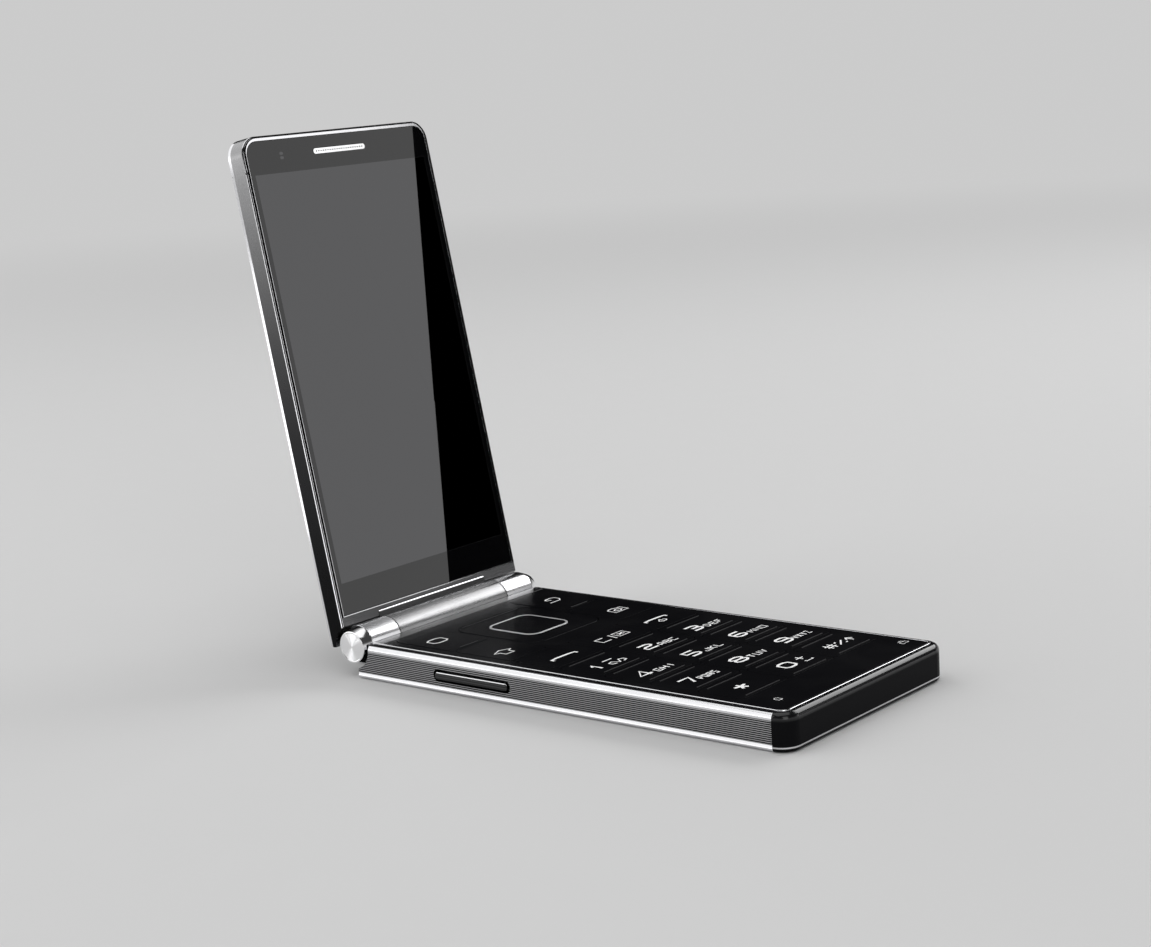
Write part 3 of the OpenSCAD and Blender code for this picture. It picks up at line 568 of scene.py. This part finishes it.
def piece(name, bm, body, finishes, crease=50):
    """Makes a piece of a finished mesh: it rides on a body and has its own finishes."""
    for face in bm.faces:
        face.smooth = True
    for edge in bm.edges:
        edge.smooth = len(edge.link_faces) == 2 and edge.calc_face_angle(0) < math.radians(crease)
    item = mesh_object(name, bm, [FINISHES[finish] for finish in finishes])
    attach(item, body)
    return item


def dressed(node, bm, finishes):
    """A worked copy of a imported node, which stands for it, shaded flat beside its rounded edges."""
    bmesh.ops.dissolve_degenerate(bm, dist=2e-6, edges=bm.edges)
    item = piece(node + "_shape", bm, NODES[node]["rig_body"], finishes)
    item.modifiers.new("Flat faces", "WEIGHTED_NORMAL").keep_sharp = True
    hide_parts(node)


def window_outline(bm, x0, y0, x1, y1, radius, z):
    """A rectangle with square corners at the foot and round ones above."""
    made = [bm.verts.new((x, y, z)) for x, y in ((x0, y0), (x1, y0), (x1, y1), (x0, y1))]
    bm.faces.new(made)
    bmesh.ops.bevel(bm, geom=made[2:], offset=radius, offset_type="OFFSET", affect="VERTICES",
                    segments=8, profile=0.5, material=-1)


def ring_solid(outer, inner, z0, z1):
    """A flat ring between two window outlines (x0, y0, x1, y1, radius), z0 to z1."""
    bm = bmesh.new()
    for shape in (outer, inner):
        window_outline(bm, *shape, z0)
    bmesh.ops.delete(bm, geom=list(bm.faces), context="FACES_ONLY")
    bmesh.ops.bridge_loops(bm, edges=list(bm.edges))
    thicken(bm, z1 - z0)
    return bm


# ---------- legends ----------

# Each glyph: its sign, then its lines on a grid of 4 by 6, where a pair of figures is a point
GLYPHS = dict(glyph.split(" ", 1) for glyph in """\
0 10 30 41 45 36 16 05 01 10
1 04 26 20
2 06 36 45 44 33 13 02 00 40
3 06 36 45 44 33 13|33 42 41 30 00
4 30 36 01 41
5 46 06 03 33 42 41 30 00
6 46 16 05 01 10 30 41 42 33 03
7 06 46 20
8 10 30 41 42 33 13 04 05 16 36 45 44 33|13 02 01 10
9 00 30 41 45 36 16 05 04 13 43
* 23 26|23 04|23 44|23 10|23 30
# 10 16|30 36|02 42|04 44
+ 03 43|20 26
/ 10 36
% 00 46|05 16|30 41
- 03 43
A 00 04 16 36 44 40|02 42
B 00 06 36 45 44 33 42 41 30 00|03 33
C 46 06 00 40
D 00 06 26 44 42 20 00
E 46 06 00 40|03 33
F 46 06 00|03 33
G 46 06 00 40 43 23
H 00 06|40 46|03 43
I 20 26
J 46 40 00 02
K 00 06|46 03 40
L 06 00 40
M 00 06 23 46 40
N 00 06 40 46
O 00 40 46 06 00
P 00 06 46 43 03
Q 00 40 46 06 00|22 41
R 00 06 46 43 03|23 40
S 46 06 03 43 40 00
T 06 46|26 20
U 06 00 40 46
V 06 20 46
W 06 10 24 30 46
X 00 46|06 40
Y 06 23 46|23 20
Z 06 46 00 40
home 04 26 44 33 30 10 13 04
turn 15 36 45 42 30 00|26 15 14 23
call 00 04 15 35 44 40
camera 00 40 45 35 26 16 05 00|21 32 33 24 13 12 21
power 22 26|14 02 10 30 42 34
rings 10 01 04 15 20 35 44 41 30
erase 00 40 46 06 00|12 34|14 32
space 04 00 40 44
arrow 20 26|03 26 43
bell 11 31 34 25 14 11|20 21
lock 00 40 43 03 00|13 15 35 33
""".splitlines())


def draw_glyph(curve, line_width, sign, x, y, width, height):
    """Adds one glyph's lines to a curve, so that they fill a box given in millimetres."""
    x, y, width, height = x * MM, y * MM, width * MM - line_width, height * MM - line_width
    x, y = x + line_width / 2, y + line_width / 2
    for stroke in GLYPHS[sign].split("|"):
        points = stroke.split()
        closed = points[0] == points[-1] and len(points) > 2
        if closed:
            points = points[:-1]
        line = curve.splines.new("POLY")
        line.points.add(len(points) - 1)
        for place, (across, up) in zip(line.points, points):
            place.co = (x + int(across) / 4 * width, y + int(up) / 6 * height, 0, 1)
        line.use_cyclic_u = closed


def legend(name, body, marks, line, z):
    """A printed legend: marks are (sign, left, lower edge, width, height) on a key's face."""
    curve = bpy.data.curves.new(name, "CURVE")
    curve.dimensions = "3D"
    curve.bevel_depth = line / 2
    curve.bevel_resolution = 1
    curve.use_fill_caps = True
    for mark in marks:
        draw_glyph(curve, line, *mark)
    drawn = in_scene(name, curve)
    bpy.context.view_layer.update()
    bm = bmesh.new()
    bm.from_mesh(bpy.data.meshes.new_from_object(drawn.evaluated_get(
        bpy.context.evaluated_depsgraph_get())))
    bpy.data.objects.remove(drawn)
    bmesh.ops.scale(bm, vec=(1, 1, sizes().print_height * 2 / line), verts=bm.verts)
    bmesh.ops.translate(bm, vec=(0, 0, z), verts=bm.verts)
    bmesh.ops.recalc_face_normals(bm, faces=bm.faces)
    piece(name, bm, body, ["legend"])


# Signs on the keys, as (sign, left edge, lower edge, width, height) in millimetres
BOLD_MARKS = {
    "key_1": [("1", -22.0, -6.1, 2.2, 3.8)], "key_2": [("2", -5.0, -6.1, 4.2, 3.8)],
    "key_3": [("3", 12.3, -6.1, 4.2, 3.8)], "key_4": [("4", -22.8, -18.0, 4.6, 3.9)],
    "key_5": [("5", -5.0, -18.0, 4.2, 3.9)], "key_6": [("6", 12.3, -18.0, 4.2, 3.9)],
    "key_7": [("7", -22.3, -29.7, 4.3, 3.8)], "key_8": [("8", -4.5, -29.7, 4.5, 3.8)],
    "key_9": [("9", 12.8, -29.7, 4.3, 3.8)], "key_star": [("*", -20.7, -41.4, 4.2, 3.3)],
    "key_0": [("0", -3.4, -41.3, 4.4, 3.9)],
    "key_call": [("call", -21.8, 6.6, 8.6, 2.0)], "key_end": [("call", 12.9, 7.7, 8.0, 1.9)],
}
FINE_MARKS = {
    "key_1": [("-", -17.5, -3.2, 3.5, 0.8), ("rings", -17.8, -6.4, 5.2, 2.4)],
    "key_0": [("+", 3.0, -39.9, 2.8, 2.4), ("space", 3.2, -41.5, 2.8, 1.1)],
    "key_hash": [("#", 13.4, -41.3, 3.4, 3.3), ("%", 17.3, -41.0, 3.4, 2.4),
                 ("arrow", 21.1, -41.2, 2.6, 2.7)],
    "key_clear": [("C", -4.9, 6.5, 3.2, 3.0), ("/", -0.6, 6.2, 1.4, 3.5),
                  ("erase", 1.2, 6.6, 4.0, 3.0)],
    "key_end": [("power", 15.4, 5.7, 3.0, 2.2)], "key_menu": [("0", -23.0, 40.0, 4.9, 3.6)],
    "key_back": [("home", -23.6, 20.0, 5.9, 3.7)], "key_options": [("turn", 17.4, 40.0, 5.0, 3.6)],
    "key_camera": [("camera", 17.4, 20.2, 4.9, 3.5)],
}
# Letters on the keys, as (letters, left edge, lower edge)
LETTERS = {
    "key_2": ("ABC", -0.3, -6.3), "key_3": ("DEF", 17.0, -6.3), "key_4": ("GHI", -17.4, -18.2),
    "key_5": ("JKL", 0.0, -18.2), "key_6": ("MNO", 17.2, -18.2), "key_7": ("PQRS", -17.8, -29.7),
    "key_8": ("TUV", 0.4, -29.7), "key_9": ("WXYZ", 17.4, -29.7),
}
PLATE_MARKS = (("bell", -23.6, -52.4, 2.6, 2.6), ("lock", 24.0, -52.4, 2.4, 2.2))
WORD_WIDTH, LETTER_HEIGHT, LETTER_SHARE = 6.6, 2.1, 0.82


# ---------- operators ----------

class PHONE_OT_finishes(bpy.types.Operator):
    """Makes the shared effects and every finish, and paints the nodes that keep their shape"""
    bl_idname = "phone.finishes"
    bl_label = "Finishes"

    def execute(self, context):
        grain_group()
        handling_group()
        level_group()
        FINISHES.update(make_finishes())
        for node, slot in SLOTS.items():
            for place in NODES[node].material_slots:
                place.material = FINISHES[slot]
        return {"FINISHED"}


class PHONE_OT_keys(bpy.types.Operator):
    """Keys with finely rounded upper edges"""
    bl_idname = "phone.keys"
    bl_label = "Keys"

    def execute(self, context):
        below, above = 0.4 * MM, 0.01 * MM
        for node in sorted(NODES):
            if node.startswith("key_"):
                bm = packed_mesh(node)
                round_edges(bm, rim_edges(bm, KEY_FACE - below, KEY_FACE + above), sizes().key_edge)
                dressed(node, bm, ["key_face"])
        return {"FINISHED"}


class PHONE_OT_legends(bpy.types.Operator):
    """Digits, letters and signs printed on the keys"""
    bl_idname = "phone.legends"
    bl_label = "Key legends"

    def execute(self, context):
        bold, fine = sizes().digit_line, sizes().letter_line
        for ending, marks, line in (("", BOLD_MARKS, bold), ("_fine", FINE_MARKS, fine)):
            for node, signs in marks.items():
                legend(f"print_{node}{ending}", NODES[node]["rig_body"], signs, line, KEY_FACE)
        for node, (letters, left, base) in LETTERS.items():
            step = WORD_WIDTH / len(letters)
            signs = [(letter, left + i * step, base, step * LETTER_SHARE, LETTER_HEIGHT)
                     for i, letter in enumerate(letters)]
            legend(f"print_{node}_letters", NODES[node]["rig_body"], signs, fine, KEY_FACE)
        legend("print_plate", "base", PLATE_MARKS, fine / 2, high("keypad_plate").z)
        return {"FINISHED"}


class PHONE_OT_navigation(bpy.types.Operator):
    """Navigation ring, middle key and its trim with rounded edges, and the plate round them"""
    bl_idname = "phone.navigation"
    bl_label = "Navigation keys"

    def execute(self, context):
        for node, width in (("nav_ring", sizes().ring_edge), ("nav_ok", sizes().key_edge),
                            ("ok_trim", sizes().edge)):
            top, near = high("ok_trim").z if node == "ok_trim" else KEY_FACE, 0.04 * MM
            bm = packed_mesh(node)
            round_edges(bm, rim_edges(bm, top - near, top + near), width, 3)
            dressed(node, bm, ["key_trim" if node == "ok_trim" else SLOTS[node]])
        self.plate()
        return {"FINISHED"}

    def plate(self):
        """Rounds the keypad plate's outer edge at its sides, near end and near corners."""
        margin, corner = 0.3 * MM, 2 * MM
        bm = packed_mesh("keypad_plate")
        half, near = high("keypad_plate").x - margin, low("keypad_plate").y + margin
        top = high("keypad_plate").z - 0.05 * MM
        outer = [e for e in corners(bm, 40) if all(
            v.co.z > top and (abs(v.co.x) > half or v.co.y < near
                              or (v.co.y < near + corner and abs(v.co.x) > half - corner))
            for v in e.verts)]
        round_edges(bm, outer, sizes().plate_edge)
        dressed("keypad_plate", bm, ["keypad_face"])


class PHONE_OT_hinge(bpy.types.Operator):
    """Barrel and knuckles with broken edges, and caps with turned faces"""
    bl_idname = "phone.hinge"
    bl_label = "Hinge"

    def execute(self, context):
        for node in ("knuckle_left", "knuckle_right"):
            bm = packed_mesh(node)
            round_edges(bm, corners(bm, 60), sizes().edge)
            dressed(node, bm, ["knuckle"])
        self.barrel()
        self.caps()
        return {"FINISHED"}

    def barrel(self):
        """Rounds the barrel's ends and its lug, and polishes the lug's crest."""
        lug_round, foot, apart, crest_height = 0.4 * MM, 4.9 * MM, 0.1 * MM, 0.55 * MM
        bm = packed_mesh("lid_barrel")
        lug = [e for e in corners(bm, 60)
               if all((TO_LID @ v.co).y > foot + apart for v in e.verts)]
        round_edges(bm, lug, lug_round, 3)
        ends = [e for e in corners(bm, 60)
                if all((TO_LID @ v.co).y < foot - apart for v in e.verts)]
        round_edges(bm, ends, sizes().edge)
        crest = max((TO_LID @ v.co).y for v in bm.verts) - crest_height
        for face in bm.faces:
            up = (TO_LID @ face.calc_center_median()).y
            if up > foot:
                face.material_index = 1 if up > crest else 2
        dressed("lid_barrel", bm, ["hinge_metal", "polished_rail", "lug"])

    def caps(self):
        """Spins both caps from one profile, with fine rings turned in the face."""
        axis, rings = LID.translation, sizes().cap_rings
        face_r, root_r = 3.7 * MM, high("hinge_caps").z - axis.z
        root_x = high("knuckle_right").x
        depth = high("hinge_caps").x - root_x
        rim, floor, ring_height = face_r - 0.5 * MM, depth - 0.06 * MM, 0.013 * MM
        # The outline, as (radius, distance out from the knuckle)
        profile = [(0.3 * MM, 0), (root_r, 0), (root_r, 0.25 * MM),
                   (face_r + 0.02 * MM, depth - 0.14 * MM), (face_r - 0.04 * MM, depth - 0.04 * MM),
                   (face_r - 0.14 * MM, depth), (face_r - 0.36 * MM, depth), (rim, floor)]
        for i in range(rings):
            profile += [(rim * (1 - (i + 0.5) / (rings + 1)), floor + ring_height),
                        (rim * (1 - (i + 1) / (rings + 1)), floor)]
        bm = bmesh.new()
        line = [bm.verts.new((root_x + out, axis.y, axis.z + r)) for r, out in profile]
        line.append(bm.verts.new((root_x + floor, axis.y, axis.z)))
        edges = [bm.edges.new(pair) for pair in zip(line, line[1:])]
        bmesh.ops.spin(bm, geom=line + edges, cent=axis, axis=(1, 0, 0), angle=math.tau, steps=72,
                       use_merge=True)
        bmesh.ops.remove_doubles(bm, verts=bm.verts, dist=1e-7)
        bmesh.ops.recalc_face_normals(bm, faces=bm.faces)
        bmesh.ops.mirror(bm, geom=bm.verts[:] + bm.edges[:] + bm.faces[:], axis="X", merge_dist=0)
        bmesh.ops.recalc_face_normals(bm, faces=bm.faces)
        item = piece("hinge_caps_turned", bm, NODES["hinge_caps"]["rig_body"], ["turned_cap"],
                     crease=22)
        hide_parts("hinge_caps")


class PHONE_OT_lid(bpy.types.Operator):
    """Lid frame with polished bevels and back rim, a grained band and a satin chin"""
    bl_idname = "phone.lid"
    bl_label = "Lid"

    def execute(self, context):
        frame_low, frame_high = lid_box("lid_frame")
        rim, top, out = frame_low.z + sizes().band_rim, frame_high.y, lid_axis(2)
        flat, slanted, wall, shoulder = 0.9, 0.2, 0.5 * MM, 5 * MM
        widen = 0.3 * sizes().band_rim / top
        slant = (LID.to_3x3() @ Vector((0, -widen, 1))).normalized()
        bm, breaks = packed_mesh("lid_frame"), packed_mesh("antenna_breaks")
        for mesh in (bm, breaks):
            cut(mesh, LID @ Vector((0, 0, rim)), slant)
            mesh.normal_update()
        for face in bm.faces:
            at = TO_LID @ face.calc_center_median()
            facing = face.normal.dot(out)
            inside = abs(at.x) < frame_high.x - wall and at.y < top - shoulder
            if facing > flat or inside:
                face.material_index = 0
            elif abs(facing) > slanted or at.z < rim + widen * at.y:
                face.material_index = 2
            else:
                face.material_index = 1
        round_edges(bm, corners(bm), sizes().edge * 0.6)
        self.inner_bevel(bm, out, frame_high.z - 0.22 * MM, frame_high.z - 0.03 * MM)
        dressed("lid_frame", bm, ["chin", "band", "polished_rail", "seal"])
        for face in breaks.faces:
            at = TO_LID @ face.calc_center_median()
            outer = 2 if at.z < rim + widen * at.y else 1
            face.material_index = outer if abs(face.normal.x) > flat else 0
        dressed("antenna_breaks", breaks, ["break_plastic", "band", "polished_rail"])
        return {"FINISHED"}

    def inner_bevel(self, bm, out, lowest, highest):
        """Blackens the part of the front bevel that lies beside the seal."""
        steep, flat = 0.5, 0.9
        for height in (lowest, highest):
            cut(bm, LID @ Vector((0, 0, height)), out)
        bm.normal_update()
        for face in bm.faces:
            height = (TO_LID @ face.calc_center_median()).z
            if steep < face.normal.dot(out) < flat and lowest < height < highest:
                face.material_index = 3


class PHONE_OT_display(bpy.types.Operator):
    """Display glass with a rounded edge, its seal and bright line, and the sensor windows"""
    bl_idname = "phone.display"
    bl_label = "Display"

    def execute(self, context):
        size, gap, bevel = sizes(), 0.05 * MM, 0.35 * MM
        bm = packed_mesh("display_glass")
        low_corner, high_corner = lid_box("display_glass")
        edges = [e for e in corners(bm, 60)
                 if all((TO_LID @ v.co).z > high_corner.z - 0.05 * MM for v in e.verts)]
        round_edges(bm, edges, size.glass_edge, 3)
        dressed("display_glass", bm, ["display_glass"])
        x, y0, y1 = high_corner.x + gap, low_corner.y - gap, high_corner.y + gap
        land, sunk = lid_box("lid_frame")[1], high_corner.z
        # Outlines as (left, foot, right, top, radius of the upper corners)
        glass = (-x, y0, x, y1, 3.4 * MM)
        trim = (-x - size.trim, y0 - size.trim_foot, x + size.trim, y1 + size.trim_top, 3.7 * MM)
        seal = (bevel - land.x, trim[1] - 0.02 * MM, land.x - bevel, land.y - bevel, 4.15 * MM)
        for name, outer, inner, base, rise, finish in (
                ("glass_seal", seal, trim, land.z - 0.02 * MM, land.z + 0.02 * MM, "seal"),
                ("glass_trim", trim, glass, sunk - 0.2 * MM, land.z + 0.03 * MM, "bright_trim")):
            ring = ring_solid(outer, inner, base, rise)
            bmesh.ops.transform(ring, matrix=LID, verts=ring.verts)
            piece(name, ring, "lid", [finish])
        self.sensors(sunk)
        return {"FINISHED"}

    def sensors(self, face):
        """Two small round windows in the glass beside the earpiece."""
        across, heights, radius = -18.7 * MM, (111.6 * MM, 112.6 * MM), 0.42 * MM
        bm = bmesh.new()
        for up in heights:
            made = bmesh.ops.create_circle(bm, cap_ends=True, segments=20, radius=radius)
            bmesh.ops.scale(bm, verts=made["verts"], vec=(1.4, 0.85, 1))
            bmesh.ops.translate(bm, verts=made["verts"], vec=(across, up, face))
        thicken(bm, 0.01 * MM)
        bmesh.ops.transform(bm, matrix=LID, verts=bm.verts)
        piece("sensor_windows", bm, "lid", ["sensor"])


class PHONE_OT_rails(bpy.types.Operator):
    """Side rails polished over their edge and black beside the bead, and the bead"""
    bl_idname = "phone.rails"
    bl_label = "Rails and bead"

    def execute(self, context):
        half, rib_round, slot_depth, skin = high("rail_right").x, 0.08 * MM, 2 * MM, 0.05 * MM
        foot, crest = low("rib_panel_right").z, high("rib_panel_right").z
        rim = half - sizes().rail_band
        for node, side in (("rail_left", -1), ("rail_right", 1)):
            bm = packed_mesh(node)
            cut(bm, (side * rim, 0, 0), (1, 0, 0))
            for face in bm.faces:
                at = face.calc_center_median()
                inner = abs(at.x) < rim + 1e-6 and at.z > crest
                # Faces in the recess behind the ribs take the black seal finish: painted shade in the
                # recess.
                slot = half - slot_depth < abs(at.x) < half - skin and foot < at.z < crest
                face.material_index = 1 if inner else 2 if slot else 0
            self.slope(bm, side, half, foot)
            round_edges(bm, [e for e in bm.edges if len(e.link_faces) == 2
                             and all(abs(v.co.x) > half - 1e-5 and abs(v.co.z - crest) < 0.1 * MM
                                     for v in e.verts)], rib_round)
            dressed(node, bm, ["polished_rail", "black_shell", "seal"])
        self.bead()
        return {"FINISHED"}

    def slope(self, bm, side, half, foot):
        """Leans the band below the ribs inwards, so that it faces up to the light."""
        start, wall, above = foot - 0.8 * MM, 0.2 * MM, 0.01 * MM
        cut(bm, (0, 0, start), (0, 0, 1))
        rows = {}
        for vert in bm.verts:
            if abs(vert.co.x) > half - wall and start < vert.co.z < foot + above:
                rows.setdefault(round(vert.co.z / MM, 3), []).append(vert)
        for height, row in sorted(rows.items()):
            share = (height * MM - start) / (foot - start)
            bmesh.ops.translate(bm, verts=row, vec=(-side * share * sizes().rail_lip, 0, 0))

    def bead(self):
        """Rounds the bead's upper edges, which stand above the rails."""
        bm, top = packed_mesh("keypad_bead"), high("rail_right").z
        round_edges(bm, [e for e in corners(bm, 60) if all(v.co.z > top for v in e.verts)],
                    sizes().bead_edge)
        dressed("keypad_bead", bm, ["bright_trim"])


class PHONE_OT_trims(bpy.types.Operator):
    """Rocker, grille, camera ring, socket, strip and cover with rounded edges"""
    bl_idname = "phone.trims"
    bl_label = "Trims and covers"

    def execute(self, context):
        upward = 0.35
        for node, width, least in (("volume_rocker", 0.22, 40), ("earpiece_grille", 0.06, 60),
                                   ("camera_ring", 0.15, 40), ("usb_socket", 0.1, 60),
                                   ("hinge_strip", 0.08, 40), ("rear_cover", 0.15, 60)):
            bm, finishes = packed_mesh(node), [SLOTS[node]]
            round_edges(bm, corners(bm, least), width * MM)
            if node == "volume_rocker":
                finishes.append("polished_rail")
                bm.normal_update()
                for face in bm.faces:
                    face.material_index = 1 if face.normal.z > upward else 0
            dressed(node, bm, finishes)
        return {"FINISHED"}


# ---------- stage ----------

# Soft lights: name, azimuth and height in degrees, distance, width and height, and brightness
LIGHTS = (
    ("overhead_light", 135, 84, 1.35, 1.5, 1.5, 1.0),
    ("right_light", -9, 34, 1.25, 0.96, 0.50, 3.5),
    ("back_light", 112, 26, 1.35, 2.3, 1.25, 1.1),
    ("front_light", -128, 20, 1.3, 0.6, 1.0, 1.4),
)


def softbox(name, place, target, width, height, radiance):
    """A rectangular studio light of a given brightness."""
    light = bpy.data.lights.new(name, "AREA")
    light.shape = "RECTANGLE"
    light.size, light.size_y = width, height
    light.energy = radiance * math.pi * width * height
    item = in_scene(name, light)
    item.location = place
    item.rotation_euler = (Vector(target) - Vector(place)).to_track_quat("-Z", "Y").to_euler()
    item.visible_camera = False


def emitter(name, brightness):
    """A plain shining material for a studio card, or a black one for a flag."""
    material = bpy.data.materials.new(name)
    material.use_nodes = True
    tree = material.node_tree
    tree.nodes.clear()
    glow = add(tree, "Emission", {"Color": (1, 1, 1, 1), "Strength": brightness})
    out = tree.nodes.new("ShaderNodeOutputMaterial")
    tree.links.new(glow.outputs[0], out.inputs["Surface"])
    return material


def card(name, azimuth, distance, spans, material):
    """A card or flag square to a direction, seen only in reflections; spans are (across, up)."""
    ahead = Vector((math.cos(azimuth), math.sin(azimuth), 0))
    side = Vector((0, 0, 1)).cross(ahead)
    bm = bmesh.new()
    bm.faces.new([bm.verts.new(ahead * distance + side * u + Vector((0, 0, z))) for u, z in spans])
    item = mesh_object(name, bm, [material])
    item.visible_camera = False


class PHONE_OT_stage(bpy.types.Operator):
    """Pale floor, soft lights, reflection cards and the camera"""
    bl_idname = "phone.stage"
    bl_label = "Stage"

    def execute(self, context):
        self.floor()
        self.world()
        self.lights()
        self.camera()
        context.scene.view_settings.view_transform = "Standard"
        return {"FINISHED"}

    def floor(self):
        """A wide pale floor with a faint paper grain, which melts into the surround far out."""
        bm = bmesh.new()
        bmesh.ops.create_circle(bm, cap_ends=True, segments=64, radius=9.0)
        bmesh.ops.translate(bm, verts=bm.verts, vec=(0, 0, -0.02 * MM))
        made = Finish("Studio floor", tint("floor"), roughness=0.75)
        made.set("Specular IOR Level", 0.2)
        made.feed("Roughness", made.group("Grain", Scale=1200, Low=0.7, High=0.8)["Value"])
        away = add(made.tree, "VectorMath", {0: made.place}, operation="LENGTH").outputs["Value"]
        far = ramp(made.tree, away, 0.35, 1.5, interpolation_type="SMOOTHSTEP")
        glow = add(made.tree, "Emission", {"Color": (*tint("surround"), 1),
                                           "Strength": self.seen(made.tree)})
        both = add(made.tree, "MixShader", {0: far, 1: made.shader.outputs[0], 2: glow.outputs[0]})
        made.tree.links.new(both.outputs[0], made.tree.nodes["Material Output"].inputs["Surface"])
        item = mesh_object("studio_floor", bm, [made.material])

    def seen(self, tree):
        """1 for rays that show the surround: from the camera, a mirror or through glass."""
        rays = add(tree, "LightPath").outputs
        first = maths(tree, "MAXIMUM", rays["Is Camera Ray"], rays["Is Glossy Ray"])
        return maths(tree, "MAXIMUM", first, rays["Is Transmission Ray"])

    def world(self):
        """A pale surround that dims overhead, and lights the phone evenly."""
        overhead, even = (0.04, 0.04, 0.04), (0.30, 0.30, 0.30)
        world = bpy.data.worlds.new("Studio")
        bpy.context.scene.world = world
        world.use_nodes = True
        tree = world.node_tree
        up = add(tree, "SeparateXYZ", {0: add(tree, "TexCoord").outputs["Generated"]}).outputs["Z"]
        rise = ramp(tree, up, 0.06, 0.35, interpolation_type="SMOOTHSTEP")
        tone = mix(tree, self.seen(tree), even, mix(tree, rise, tint("surround"), overhead))
        background = tree.nodes["Background"]
        background.inputs["Strength"].default_value = 1.0
        tree.links.new(tone, background.inputs["Color"])

    def lights(self):
        """Soft lights all round, a card mirrored in the glass and two dark flags."""
        middle = (0, 0.03, 0.03)
        for name, azimuth, rise, distance, width, height, radiance in LIGHTS:
            azimuth, rise = math.radians(azimuth), math.radians(rise)
            flat = distance * math.cos(rise)
            place = (flat * math.cos(azimuth), flat * math.sin(azimuth),
                     middle[2] + distance * math.sin(rise))
            softbox(name, place, middle, width, height, radiance)
        softbox("low_light", (-0.50, 0.41, 0.005), (-0.50, 0.41, 1), 0.76, 0.71, 1.3)
        white, black = emitter("Card", 1.3), emitter("Flag", 0.0)
        ahead = math.atan2(-0.649, 0.758)    # where the camera's view goes, mirrored in the glass
        card("glass_card", ahead, 1.3,
             ((-0.30, 0), (-0.0501, 0), (0.0803, 0.50), (-0.30, 0.50)), white)
        card("glass_flag", ahead, 1.29,
             ((-0.0501, 0), (0.30, 0), (0.30, 0.50), (0.0803, 0.50)), black)
        card("keypad_flag", math.radians(38), 1.5,
             ((-0.75, 0), (0.75, 0), (0.75, 0.95), (-0.75, 0.95)), black)

    def camera(self):
        """The camera, turned about the phone's middle."""
        target, distance = Vector((8.035, 22.336, 42.803)) * MM, 516.83 * MM
        azimuth, rise, roll = (math.radians(a) for a in (-50.558, 10.850, -3.371))
        back = Vector((math.sin(azimuth) * math.cos(rise), -math.cos(azimuth) * math.cos(rise),
                       math.sin(rise)))
        level = (-back).cross(Vector((0, 0, 1))).normalized()
        upright = level.cross(-back)
        side = level * math.cos(roll) + upright * math.sin(roll)
        up = upright * math.cos(roll) - level * math.sin(roll)
        camera = bpy.data.cameras.new("camera")
        camera.lens, camera.sensor_width, camera.sensor_fit = 71.509, 36, "HORIZONTAL"
        item = in_scene("camera", camera)
        stand = Matrix((side, up, back)).transposed().to_4x4()
        stand.translation = target + back * distance
        item.matrix_world = stand
        bpy.context.scene.camera = item


# ---------- add-on ----------

OPERATORS = (
    PHONE_OT_finishes, PHONE_OT_keys, PHONE_OT_legends, PHONE_OT_navigation, PHONE_OT_hinge,
    PHONE_OT_lid, PHONE_OT_display, PHONE_OT_rails, PHONE_OT_trims, PHONE_OT_stage)


class PHONE_PT_panel(bpy.types.Panel):
    """Lists the phone's sizes, colours and making steps"""
    bl_idname = "PHONE_PT_panel"
    bl_label = "Folding phone"
    bl_space_type = "VIEW_3D"
    bl_region_type = "UI"
    bl_category = "Phone"

    def draw(self, context):
        column = self.layout.column()
        for group in (context.scene.phone_sizes, context.scene.phone_colours):
            for name in group.__annotations__:
                column.prop(group, name)
        for operator in OPERATORS:
            column.operator(operator.bl_idname)


CLASSES = (PhoneSizes, PhoneColours, *OPERATORS, PHONE_PT_panel)


def register():
    """Registers the classes and the scene's properties."""
    for cls in CLASSES:
        bpy.utils.register_class(cls)
    bpy.types.Scene.phone_sizes = PointerProperty(type=PhoneSizes)
    bpy.types.Scene.phone_colours = PointerProperty(type=PhoneColours)


def unregister():
    """Takes the properties and classes away again."""
    del bpy.types.Scene.phone_sizes
    del bpy.types.Scene.phone_colours
    for cls in reversed(CLASSES):
        bpy.utils.unregister_class(cls)


def main():
    """Makes every piece in order."""
    register()
    for operator in OPERATORS:
        getattr(bpy.ops.phone, operator.bl_idname.split(".")[1])()


if __name__ == "__main__":
    main()
